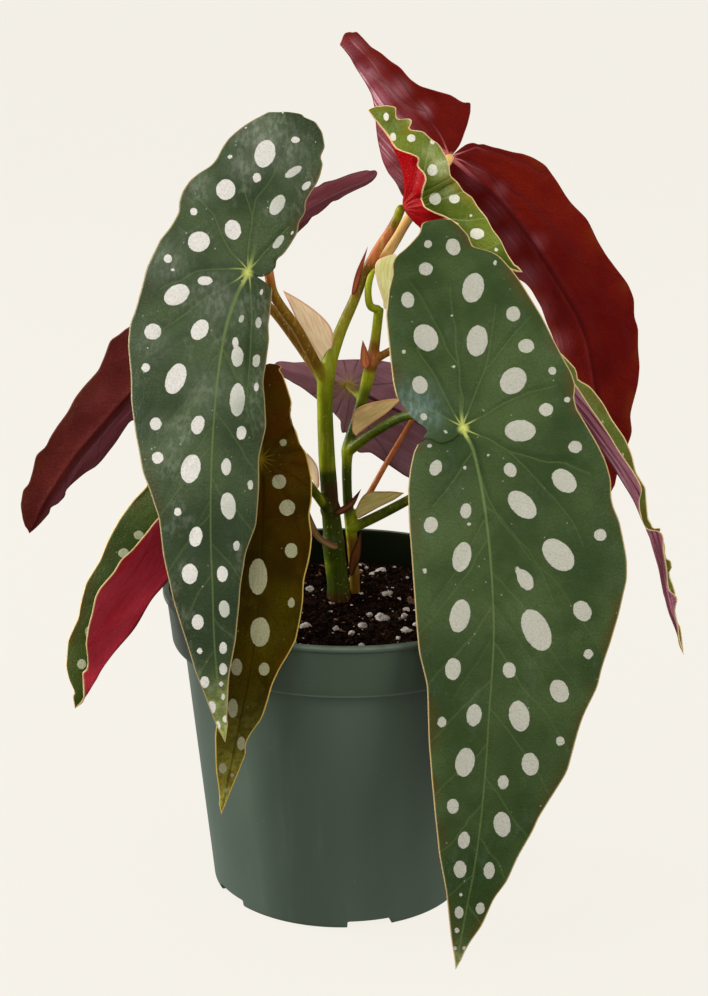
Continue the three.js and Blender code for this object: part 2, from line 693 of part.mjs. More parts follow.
// Soil: it fills the pot to just under the lip, with a lumpy top, perlite and bark in it.
const innerRadius = (z) => THREE.MathUtils.mapLinear(z, bandInFoot, potHeight - 0.6, bandInside, lipInside);
const soilEdge = innerRadius(soilLevel) - gap;
const lump = (x, y) => lumpHeight * (Math.sin(x * 0.31 + 1.1) * Math.cos(y * 0.27)
  + 0.5 * Math.sin(x * 0.73 + y * 0.61) + 0.35 * Math.cos(x * 1.13 - y * 0.97)) * 0.5;
function soilMesh() {
  const side = [
    [soilEdge, soilLevel],
    [bandInside - gap, bandInFoot + 0.6],
    [bodyInside - gap, bandFoot - 0.7],
    [footRadius - wall - gap, floorThickness + gap],
  ];
  const vertices = [vec(0, 0, soilLevel + lump(0, 0))];
  const ring = (radius, height) => {
    for (let j = 0; j < potSides; j++) {
      const turn = (2 * Math.PI * j) / potSides;
      const [x, y] = [radius * Math.cos(turn), radius * Math.sin(turn)];
      vertices.push(vec(x, y, height(x, y)));
    }
  };
  for (let i = 1; i < soilRings; i++) ring((soilEdge * i) / soilRings, (x, y) => soilLevel + lump(x, y));
  for (const [radius, z] of side) ring(radius, () => z);
  const rings = soilRings - 1 + side.length;
  const faces = [];
  for (let j = 0; j < potSides; j++) {
    const next = (j + 1) % potSides;
    faces.push([0, 1 + j, 1 + next]);
    for (let i = 0; i < rings - 1; i++) {
      const [a, b] = [1 + i * potSides + j, 1 + i * potSides + next];
      faces.push([a, a + potSides, b + potSides], [a, b + potSides, b]);
    }
  }
  const under = vertices.push(vec(0, 0, floorThickness + gap)) - 1;
  const lastRing = 1 + (rings - 1) * potSides;
  for (let j = 0; j < potSides; j++) faces.push([under, lastRing + ((j + 1) % potSides), lastRing + j]);
  return geometryOf(vertices, faces);
}
let soilSolid = solidOf(soilMesh());
const draw = randomFrom(7);
const caneSpot = vec(0, 17, 0);
for (let i = 0; i < bitCounts.perlite + bitCounts.bark; i++) {
  const isBark = i >= bitCounts.perlite;
  const spread = bitsReach * Math.sqrt(draw());
  const turn = 2 * Math.PI * draw();
  const [x, y] = [spread * Math.cos(turn), spread * Math.sin(turn)];
  const size = isBark ? barkSize : smallestPerlite + draw();
  const bit = new THREE.IcosahedronGeometry(size, 0);
  bit.scale(1, isBark ? 0.5 : 0.8, isBark ? 0.45 : 0.75);
  bit.rotateZ(6 * draw());
  bit.translate(x, y, soilLevel + lump(x, y) - 0.15 * size);
  if (caneSpot.distanceTo(vec(x, y, 0)) > bitsClearOfCanes) soilSolid = soilSolid.add(solidOf(bit));
}
// the holes that the canes stand in, open at the top
for (const cane of [leftCane, rightCane]) {
  const low = cane.filter((p) => p[2] < 100).map((p, i) => [p[0], p[1], i ? p[2] : p[2] - gap, p[3] + gap]);
  soilSolid = soilSolid.subtract(solidOf(tube(low, caneSides * 2)));
}
addPiece("soil", geometryFrom(soilSolid), 0x2a211c, 0.95);

export default root;
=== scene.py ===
# Looks for a potted polka dot begonia, seen from -Y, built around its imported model.
import math
import random

import bmesh
import bpy
import numpy as np
from mathutils import Matrix, Vector, noise


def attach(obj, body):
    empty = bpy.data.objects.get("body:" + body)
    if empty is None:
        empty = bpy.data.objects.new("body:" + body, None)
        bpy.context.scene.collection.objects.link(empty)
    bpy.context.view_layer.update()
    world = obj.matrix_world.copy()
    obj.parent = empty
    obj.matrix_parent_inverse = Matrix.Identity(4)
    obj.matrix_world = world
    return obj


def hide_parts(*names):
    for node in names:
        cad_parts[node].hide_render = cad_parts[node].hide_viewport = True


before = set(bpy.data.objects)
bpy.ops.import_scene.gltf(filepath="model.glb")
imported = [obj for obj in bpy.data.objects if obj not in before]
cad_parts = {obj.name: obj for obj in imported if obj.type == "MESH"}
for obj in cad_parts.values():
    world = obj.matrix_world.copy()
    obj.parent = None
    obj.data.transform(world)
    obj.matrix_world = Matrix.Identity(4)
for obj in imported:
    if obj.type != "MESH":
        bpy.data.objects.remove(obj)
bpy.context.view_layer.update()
scene = bpy.context.scene
mm = 0.001
print("frame loaded,", len(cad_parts), "nodes")


# Camera

cameraPlan = {
    "photoSize": (708, 996),
    "focalPx": 2339,            # focal length in pixels of the photo
    "target": (3.13, 0, 124.1),  # mm, as is the distance
    "distance": 708,
    "pitch": 17.45,             # degrees below the horizon
    "roll": 0.67,
    "sensor": 36,
    "clip": (0.01, 20),         # metres
}


def makeCamera(plan):
    pitch, roll = math.radians(plan["pitch"]), math.radians(plan["roll"])
    back = Vector((0, -math.cos(pitch), math.sin(pitch)))
    place = (Vector(plan["target"]) + back * plan["distance"]) * mm
    data = bpy.data.cameras.new("camera")
    data.sensor_width = plan["sensor"]
    data.lens = plan["focalPx"] / plan["photoSize"][1] * plan["sensor"]
    data.clip_start, data.clip_end = plan["clip"]
    camera = bpy.data.objects.new("camera", data)
    turn = Matrix.Rotation(math.pi / 2 - pitch, 4, "X") @ Matrix.Rotation(roll, 4, "Z")
    camera.matrix_world = Matrix.Translation(place) @ turn
    scene.collection.objects.link(camera)
    scene.camera = camera
    return camera


def photoPoints(points):
    # where points given in mm fall in the photo, in its pixels
    inView = np.array(camera.matrix_world.inverted())
    seen = np.asarray(points) * mm @ inView[:3, :3].T + inView[:3, 3]
    scale = cameraPlan["focalPx"] / -seen[:, 2]
    width, height = cameraPlan["photoSize"]
    return np.stack([width / 2 + seen[:, 0] * scale, height / 2 - seen[:, 1] * scale], 1)


camera = makeCamera(cameraPlan)
print("camera placed")


# Shader maths: a socket that can be added, multiplied and so on

grainRoughness = 0.55


class Wire:
    def __init__(self, tree, socket=None):
        self.tree = tree
        self.socket = socket

    def node(self, kind, settings=None, sockets=None, output=0):
        made = self.tree.nodes.new(kind)
        for key, value in (settings or {}).items():
            setattr(made, key, value)
        for key, value in (sockets or {}).items():
            if isinstance(value, Wire):
                self.tree.links.new(value.socket, made.inputs[key])
            else:
                made.inputs[key].default_value = value
        return Wire(self.tree, made.outputs[output] if made.outputs else None)

    def maths(self, operation, first, second=0.0):
        return self.node("ShaderNodeMath", {"operation": operation}, {0: first, 1: second})

    def __add__(self, other):
        return self.maths("ADD", self, other)

    def __sub__(self, other):
        return self.maths("SUBTRACT", self, other)

    def __rsub__(self, other):
        return self.maths("SUBTRACT", other, self)

    def __mul__(self, other):
        return self.maths("MULTIPLY", self, other)

    def __truediv__(self, other):
        return self.maths("DIVIDE", self, other)

    def __rtruediv__(self, other):
        return self.maths("DIVIDE", other, self)

    def __pow__(self, other):
        return self.maths("POWER", self, other)

    def __rpow__(self, other):
        return self.maths("POWER", other, self)

    def __abs__(self):
        return self.maths("ABSOLUTE", self)

    __radd__ = __add__
    __rmul__ = __mul__

    def larger(self, other):
        return self.maths("MAXIMUM", self, other)

    def smaller(self, other):
        return self.maths("MINIMUM", self, other)

    def fade(self, start, end, low=0.0, high=1.0):
        # low up to start, high from end, smooth between
        settings = {"interpolation_type": "SMOOTHSTEP"}
        return self.node("ShaderNodeMapRange", settings, {0: self, 1: start, 2: end, 3: low, 4: high})

    def mix(self, factor, first, second):
        settings = {"data_type": "RGBA", "clamp_factor": True}
        return self.node("ShaderNodeMix", settings, {0: factor, 6: first, 7: second}, output=2)

    def paint(self, color, *layers):
        # layers (mask, colour) over a colour, the first at the bottom
        for mask, layer in layers:
            color = self.mix(mask, color, layer)
        return color

    def vector(self, operation, first, second, output=0):
        key = "Scale" if operation == "SCALE" else 1
        return self.node("ShaderNodeVectorMath", {"operation": operation}, {0: first, key: second}, output)

    def attribute(self, name):
        return self.node("ShaderNodeAttribute", {"attribute_name": name}, output="Fac")

    def pair(self, first, second):
        return self.node("ShaderNodeCombineXYZ", None, {0: first, 1: second})

    def place(self):
        return self.node("ShaderNodeTexCoord", output="Object")

    def noiseAt(self, point, scale=1.0, detail=3.0, roughness=0.5, output=0):
        values = {"Vector": point, "Scale": scale, "Detail": detail, "Roughness": roughness}
        return self.node("ShaderNodeTexNoise", None, values, output)

    def grain(self, size, detail=3.0, stretch=None):
        # noise with features about size mm across
        point = self.vector("MULTIPLY", self.place(), stretch) if stretch else self.place()
        return self.noiseAt(point, 1 / (size * mm), detail, grainRoughness)

    def cells(self, size, feature="F1"):
        values = {"Vector": self.place(), "Scale": 1 / (size * mm)}
        return self.node("ShaderNodeTexVoronoi", {"feature": feature}, values)

    def bump(self, height, strength, distance):
        values = {"Strength": strength, "Distance": distance * mm, "Height": height}
        return self.node("ShaderNodeBump", None, values)


def smallest(wires):
    first, *others = wires
    for other in others:
        first = first.smaller(other)
    return first


def rgb(red, green, blue):
    # a colour as seen on a screen, 0 to 255, in the linear values that shaders take
    def linear(value):
        value /= 255
        return value / 12.92 if value <= 0.04045 else ((value + 0.055) / 1.055) ** 2.4
    return (linear(red), linear(green), linear(blue), 1.0)


def newShader(name):
    material = bpy.data.materials.new(name)
    material.use_nodes = True
    material.node_tree.nodes.clear()
    return material, Wire(material.node_tree)


def surface(wire, sockets):
    # the shader that everything ends in
    made = wire.node("ShaderNodeBsdfPrincipled", None, sockets)
    wire.node("ShaderNodeOutputMaterial", None, {"Surface": made})


# Meshes

def setAttributes(mesh, attributes):
    for key, values in attributes.items():
        layer = mesh.attributes.new(key, "FLOAT", "POINT")
        layer.data.foreach_set("value", np.asarray(values, np.float32))


def makePiece(name, points, faces, materials, faceMaterials=None, attributes=None):
    # points in mm
    mesh = bpy.data.meshes.new(name)
    mesh.from_pydata((np.asarray(points) * mm).tolist(), [], faces)
    for material in materials:
        mesh.materials.append(material)
    if faceMaterials is not None:
        mesh.polygons.foreach_set("material_index", np.asarray(faceMaterials, np.int32))
    setAttributes(mesh, attributes or {})
    mesh.polygons.foreach_set("use_smooth", np.ones(len(mesh.polygons), bool))
    mesh.update()
    piece = bpy.data.objects.new(name, mesh)
    scene.collection.objects.link(piece)
    return piece


def applyModifiers(piece):
    evaluated = piece.evaluated_get(bpy.context.evaluated_depsgraph_get())
    mesh = bpy.data.meshes.new_from_object(evaluated)
    piece.modifiers.clear()
    piece.data = mesh
    return mesh


def standFor(piece, node):
    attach(piece, "root")
    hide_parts(node)


def pieceName(node):
    first, *others = node.split("_")
    return first + "".join(word.title() for word in others)


def unit(vectors):
    return vectors / np.linalg.norm(vectors, axis=-1, keepdims=True)


def ramp(values, end):
    # from 0 at 0 to 1 at end and beyond
    return np.clip(values / end, 0, 1)


def smoothNormals(points, faces):
    # one normal a point, from the triangles round it
    corners = points[faces]
    flat = np.cross(corners[:, 1] - corners[:, 0], corners[:, 2] - corners[:, 0])
    normals = np.zeros_like(points)
    for column in range(3):
        np.add.at(normals, faces[:, column], flat)
    return normals / np.maximum(np.linalg.norm(normals, axis=1, keepdims=True), 1e-12)


def softNoise(points, size, seed):
    # noise from -1 to 1 with features about size mm
    return np.array([noise.noise(Vector(p) / size + Vector((seed, seed, seed))) for p in points])


# Blades. A leaf is a list of stations along its midrib, from the end of the basal lobes to
# the tip, each [x, y, z, left width, left turn, right width, right turn] in mm and degrees:
# the point on the midrib, and how wide each half is and how far it is turned from the plane
# that faces -Y, towards -Y where positive. Side -1 is the left half and 1 the right one, and
# a place at counts stations.

bladeStyle = {
    "thickness": 0.6,
    "step": 0.85,         # size of a facet
    "curl": -12,          # degrees by which a half bends away over curlWidth
    "curlWidth": 30,
    "wave": 0.5,          # how far the margin waves, and how fast
    "waves": 2.1,
    "ribDepth": 0.5,      # how deep the midrib lies in the upper side
    "quilting": 0.45,     # how far the blade swells between its veins
    "marginNoise": 0.35,
    "fitLeast": 0.72,     # how much narrower or wider the photo's lines may make a half
    "fitMost": 1.35,
    "joint": 0,           # the station where the stalk joins, and the half with the slit there
    "slit": 0,
    "slitReach": 2,
    "slitOpen": 1,
    "lobeRound": 0.5,     # how the lobe above the slit is rounded, hangs down and stands off
    "lobeDrop": 0,
    "lobeLift": 0,
    "margins": {},        # lines read off the photo for each half, in its pixels
    "narrow": {},         # for each half, (from, to, share) where it is made narrower
    "veins": (),          # lines read off the photo
    "spots": (),
    "scatter": None,
}
leftWidth = 3             # columns of a station
rightWidth = 5
fitSteps = 24             # places at which a margin is fitted, from one station to the next
fitRange = (0.6, 1.5)     # how far from the first guess a margin may be met
leastReach = 5            # pixels; a narrower half isn't fitted
veinSpacing = 19.0        # between side veins along the midrib
veinLean = 1.25           # how far a side vein runs towards the tip for each mm out
veinOffset = 5            # how far the side veins of one half are ahead of the other's
rayAngles = (0.6, 1.12, 1.62, 2.12, 2.66)  # main veins round the stalk, from the tip's direction
rayShift = 0.05           # how their angles differ from half to half
rayBend = 0.0035          # how they bend with each mm out
noVein = 99.0
bladeRelief = {
    "marginReach": 5,     # the swell dies out over these from the margin, to a narrow end and to the stalk
    "endWidth": 12,
    "stalkReach": 12,
    "veinWidth": 4.5,     # of the dip along a vein, and of the sharp line in it
    "lineWidth": 0.8,
    "lineDepth": 0.35,    # a share of the midrib's
    "ribWidth": 1.3,
    "ribFrom": 8,
    "swellSize": 14,      # of the noise in the swell, and at the margin
    "buckleSize": 7,
    "edgeThinning": 0.45,
}


def stationValue(rows, at, column):
    values = np.array([row[column] for row in rows], float)
    k = np.minimum(np.floor(at).astype(int), len(rows) - 2)
    t = at - k
    a, b, c, d = (values[np.clip(k + shift, 0, len(rows) - 1)] for shift in (-1, 0, 1, 2))
    value = 0.5 * (2 * b + (c - a) * t + (2 * a - 5 * b + 4 * c - d) * t ** 2 + (3 * b - a - 3 * c + d) * t ** 3)
    if column in (leftWidth, rightWidth):
        value = np.where(k == 0, values[1] * t ** 0.6, np.maximum(value, 0))  # a round end at the lobes
    return value


def midribPoints(rows, at):
    return np.stack([stationValue(rows, at, column) for column in range(3)], 1)


def meetLine(middle, reach, start, end):
    # what share of its reach takes each place from the middle to a stretch of line, or nan
    step = end - start
    cross = reach[:, 0] * step[1] - reach[:, 1] * step[0]
    cross = np.where(np.abs(cross) < 1e-6, 1e-6, cross)
    away = start - middle
    t = (away[:, 0] * step[1] - away[:, 1] * step[0]) / cross
    u = (away[:, 0] * reach[:, 1] - away[:, 1] * reach[:, 0]) / cross
    met = (u >= -0.02) & (u <= 1.02) & (t > fitRange[0]) & (t < fitRange[1])
    return np.where(met, t, np.nan)


def marginFit(leaf, side):
    # how much wider or narrower a half is than its stations say, so that its margin follows
    # the lines read off the photo
    rows = leaf["stations"]
    at = np.linspace(0, len(rows) - 1, fitSteps * (len(rows) - 1) + 1)
    fit = np.ones(len(at))
    sides, shares = np.full(len(at), side), np.ones(len(at))
    middle = photoPoints(midribPoints(rows, at))
    for _ in range(2):
        reach = photoPoints(bladePoints({**leaf, "fit": {side: (at, fit)}}, at, sides, shares)[0]) - middle
        best = np.full(len(at), np.nan)
        for line in leaf["margins"][side]:
            corners = np.array(line, float)
            for start, end in zip(corners, corners[1:]):
                t = meetLine(middle, reach, start, end)
                closer = ~np.isnan(t) & ~(np.abs(best - 1) <= np.abs(t - 1))
                best = np.where(closer, t, best)
        best[np.hypot(reach[:, 0], reach[:, 1]) < leastReach] = np.nan
        fit = np.clip(fit * np.where(np.isnan(best), 1, best), leaf["fitLeast"], leaf["fitMost"])
    padded = np.pad(fit, 2, mode="edge")
    fit = (padded[:-4] + 2 * padded[1:-3] + 3 * padded[2:-2] + 2 * padded[3:-1] + padded[4:]) / 9
    for start, end, share in leaf["narrow"].get(side, ()):
        fit *= 1 - (1 - share) * np.clip(np.minimum(at - start, end - at) / 0.5 + 0.5, 0, 1)
    return at, fit


def bladePoints(leaf, at, side, share):
    # points at a share of the way from the midrib to the margin, and how wide the half is there
    rows = leaf["stations"]
    end = len(rows) - 1
    along = unit(midribPoints(rows, np.minimum(at + 1, end)) - midribPoints(rows, np.maximum(at - 1, 0)))
    across = unit(np.cross(along, (0, 1, 0)))
    facing = np.cross(along, across)
    isLeft = side < 0
    width = np.where(isLeft, stationValue(rows, at, leftWidth), stationValue(rows, at, rightWidth))
    for half, (places, fit) in leaf["fit"].items():
        width = np.where(side == half, width * np.interp(at, places, fit), width)
    turn = np.where(isLeft, stationValue(rows, at, leftWidth + 1), stationValue(rows, at, rightWidth + 1))
    turn = np.radians(turn)
    curl = math.radians(leaf["curl"]) / leaf["curlWidth"] or 1e-9
    turned = turn + curl * (width * share)
    out = (np.sin(turned) - np.sin(turn)) / curl
    up = (np.cos(turn) - np.cos(turned)) / curl
    wave = leaf["wave"] * share ** 2 * np.minimum(1, width / 8) * np.sin(at * leaf["waves"] + side * 1.3)
    out = side * (out - wave * np.sin(turned))
    up = up + wave * np.cos(turned)
    points = midribPoints(rows, at) + across * out[:, None] + facing * up[:, None]
    return points, width


def nearSlit(leaf, at):
    return np.maximum(0, 1 - np.abs(leaf["joint"] - at) / leaf["slitReach"])


def lobeOverlap(leaf, at, share):
    # how much of the way a lobe hangs over the blade below it
    return 2.6 * share * (1 - share) ** 1.2 * nearSlit(leaf, at) ** 2


def slitShift(leaf, at, share, above):
    # how many stations a point is moved along the midrib, to shape the slit
    near = nearSlit(leaf, at)
    lobe = -leaf["lobeRound"] * share ** 4 * near + lobeOverlap(leaf, at, share) * leaf["lobeDrop"]
    lower = (0.05 + 0.3 * share ** 2) * share * near * leaf["slitOpen"]
    return np.where(above, lobe, lower)


def onBlade(line, points, blade):
    # a line read off the photo as mm along and across the blade
    seen = photoPoints(points)
    found = []
    for spot in line:
        k = np.argmin(np.hypot(*(seen - spot).T))
        found.append((float(blade["along"][k]), float(blade["across"][k])))
    return found


def veinPieces(veins):
    return [(start, end) for line in veins for start, end in zip(line, line[1:]) if math.dist(start, end) > 0.3]


def veinDistances(along, across, veins):
    # how far a place on the blade is from the nearest main or side vein
    radius = np.hypot(along, across)
    if veins:
        place = np.stack([along, across], 1)
        ray = np.full(len(along), noVein)
        for start, end in veinPieces(veins):
            step = np.subtract(end, start)
            t = np.clip((place - start) @ step / (step @ step), 0, 1)
            ray = np.minimum(ray, np.linalg.norm(place - start - t[:, None] * step, axis=1))
    else:
        angle = np.arctan2(np.abs(across), along) + rayShift * np.sign(across) + rayBend * radius
        ray = np.min([np.abs(angle - a) for a in rayAngles], axis=0) * radius
    lean = along - np.abs(across) * veinLean + veinOffset * np.sign(across)
    phase = lean / veinSpacing
    side = np.abs(phase - np.floor(phase) - 0.5) * veinSpacing * 0.75
    return ray, np.where(lean > 14, side, noVein)


def makeSheet(leaf):
    # the blade's middle surface as points and triangles, with where each point is on the blade
    rows = leaf["stations"]
    line = midribPoints(rows, np.arange(len(rows), dtype=float))
    lengths = np.linalg.norm(np.diff(line, axis=0), axis=1)
    rowsEach = max(3, int(round(lengths.mean() / leaf["step"])))
    widest = max(max(row[leftWidth], row[rightWidth]) for row in rows)
    columns = max(5, int(round(widest / leaf["step"])))
    rowCount = (len(rows) - 1) * rowsEach
    joint, slit = leaf["joint"], leaf["slit"]
    slitRow = joint * rowsEach if slit else -1
    index, places = {}, []

    def corner(i, j, below):
        atEnd = i in (0, rowCount)
        split = i == slitRow and j * slit > 0
        key = (i, 0 if atEnd else j, split and below)
        if key not in index:
            above = i < slitRow or (split and not below)
            index[key] = len(places)
            places.append((i / rowsEach, -1 if j < 0 else 1, 0 if atEnd else abs(j) / columns, above))
        return index[key]

    faces = []
    for i in range(rowCount):
        for j in range(-columns, columns):
            a, b = corner(i, j, True), corner(i + 1, j, False)
            c, d = corner(i + 1, j + 1, False), corner(i, j + 1, True)
            if i > 0:
                faces.append((a, b, d))
            if i < rowCount - 1:
                faces.append((d, b, c))
    at, side, share, above = (np.array(column) for column in zip(*places))
    onLobe = side == slit
    lift = np.where(onLobe & above, lobeOverlap(leaf, at, share) * leaf["lobeLift"], 0)
    at = at + np.where(onLobe, slitShift(leaf, at, share, above), 0)
    points, width = bladePoints(leaf, at, side, share)
    points[:, 1] -= lift
    arc = np.concatenate([[0], np.cumsum(lengths)])
    blade = {
        "along": np.interp(at, np.arange(len(rows)), arc) - arc[joint],
        "across": side * share * width,
        "margin": (1 - share) * width,
        "share": share,
    }
    return points, np.array(faces), blade, index[(joint * rowsEach, 0, False)]


def openEdges(faces):
    edges = {}
    for a, b, c in faces.tolist():
        for u, v in ((a, b), (b, c), (c, a)):
            if (v, u) in edges:
                del edges[(v, u)]
            else:
                edges[(u, v)] = True
    return list(edges)


def quilted(leaf, points, blade, veins, sizes):
    # how far the upper side stands out between its veins, and sinks in along them
    ray, side = veinDistances(blade["along"], blade["across"], veins)
    radius = np.hypot(blade["along"], blade["across"])
    width = np.abs(blade["across"]) + blade["margin"]
    fromStalk = ramp(radius, sizes["stalkReach"])
    inside = ramp(blade["margin"], sizes["marginReach"]) * ramp(width, sizes["endWidth"])
    swell = (1 - np.exp(-(np.minimum(ray, side) / sizes["veinWidth"]) ** 2)) * fromStalk
    relief = inside * leaf["quilting"] * swell * (0.7 + 0.5 * softNoise(points, sizes["swellSize"], 3.0))
    rib = np.exp(-(blade["across"] / sizes["ribWidth"]) ** 2)
    rib = rib * ramp(width, sizes["ribFrom"]) * ramp(blade["along"], sizes["ribFrom"])
    line = sizes["lineDepth"] * np.exp(-(ray / sizes["lineWidth"]) ** 2) * fromStalk * inside
    return relief - leaf["ribDepth"] * (rib + line)


def makeBlade(name, plan, skinsFor):
    # skinsFor gives the materials of the upper side and the underside for the leaf's veins
    leaf = {**bladeStyle, **plan}
    leaf["fit"] = {side: marginFit(leaf, side) for side in leaf["margins"]}
    points, faces, blade, _ = makeSheet(leaf)
    veins = [onBlade(line, points, blade) for line in leaf["veins"]]
    materials = skinsFor(veins)
    normals = smoothNormals(points, faces)
    upper, count, share = -leaf["under"], len(points), blade["share"]
    relief = quilted(leaf, points, blade, veins, bladeRelief) if leaf["quilting"] else 0
    buckle = leaf["marginNoise"] * share ** 2 * softNoise(points, bladeRelief["buckleSize"], 8.0)
    points = points + normals * (upper * relief + buckle)[:, None]
    half = leaf["thickness"] / 2 * (1 - bladeRelief["edgeThinning"] * share ** 6)
    shell = np.concatenate([points + normals * half[:, None], points - normals * half[:, None]])
    allFaces = faces.tolist() + (faces[:, ::-1] + count).tolist()
    rim = []
    for u, v in openEdges(faces):
        rim += [(v, u, u + count), (v, u + count, v + count)]
    front = 0 if upper > 0 else 1
    kinds = [front] * len(faces) + [1 - front] * len(faces) + [0] * len(rim)
    seen = photoPoints(points)
    attributes = {key: blade[key] for key in ("along", "across", "margin")}
    attributes["spot"] = spotDistance(leaf, seen, blade)
    for key in patchKinds:
        attributes[key] = patches(leaf.get(key, ()), seen)
    attributes = {key: np.tile(values, 2) for key, values in attributes.items()}
    return makePiece(name, shell, allFaces + rim, materials, kinds, attributes)


# Spots: (x, y, width, height, lean) in the photo's pixels, lean in degrees to the right, and a
# seeded scatter where the photo doesn't show the leaf

pxSize = 0.31             # mm to a pixel at the leaves
farFromSpot = 9.0
scatterInset = 2.5        # how far scattered spots keep from the margin and the midrib
patchKinds = ("dust", "deep", "pale", "dim", "bloomAndSheenMask")


def ovalDistance(seen, x, y, wide, high=None, lean=0):
    # about how many mm from an oval's edge, negative inside it
    across, down = wide / 2, (high or wide) / 2
    lean = math.radians(lean)
    right, below = (seen - (x, y)).T
    u = (right * math.cos(lean) + below * math.sin(lean)) / across
    v = (right * math.sin(lean) - below * math.cos(lean)) / down
    size = np.hypot(u, v)
    slope = np.maximum(np.hypot(u / across, v / down), 1e-6)
    return np.where(size > 0.2, size * (size - 1) / slope * pxSize, -wide * 0.12)


def addScatter(scatter, nearest, seen, blade):
    rule = random.Random(scatter["seed"])
    along, across = blade["along"], blade["across"]
    inside = np.nonzero((blade["margin"] > scatterInset) & (np.abs(across) > scatterInset))[0]
    left, top, right, bottom = scatter.get("clear", (0, 0, 0, 0))
    isClear = (seen[:, 0] > left) & (seen[:, 0] < right) & (seen[:, 1] > top) & (seen[:, 1] < bottom)
    for _ in range(scatter["count"] if len(inside) else 0):
        k = inside[rule.randrange(len(inside))]
        size, stretch = rule.choice(scatter["sizes"]), rule.uniform(0.75, 1)
        if nearest[k] < size * 0.5 + scatter["apart"] or isClear[k]:
            continue
        distance = np.hypot((along - along[k]) * stretch, across - across[k]) - size / 2
        sameSide = across * across[k] >= 0
        nearest = np.where(sameSide, np.minimum(nearest, distance), nearest)
    return nearest


def spotDistance(leaf, seen, blade):
    # mm from the nearest spot's edge, negative inside it
    nearest = np.full(len(seen), farFromSpot)
    for spot in leaf["spots"]:
        nearest = np.minimum(nearest, ovalDistance(seen, *spot))
    if leaf["scatter"]:
        nearest = addScatter(leaf["scatter"], nearest, seen, blade)
    return nearest


def patches(spread, seen):
    # patches (x, y, radius, amount) in the photo's pixels where the blade has dust and painted sheen, painted shade,
    # pale colour (on the young top leaf a painted highlight), painted shade on its spots, or bloom and painted sheen
    amount = np.zeros(len(seen))
    for x, y, radius, strength in spread:
        far = np.hypot(*(seen - (x, y)).T) / radius
        amount = np.maximum(amount, strength * np.exp(-far ** 2))
    return amount


# Leaf finishes

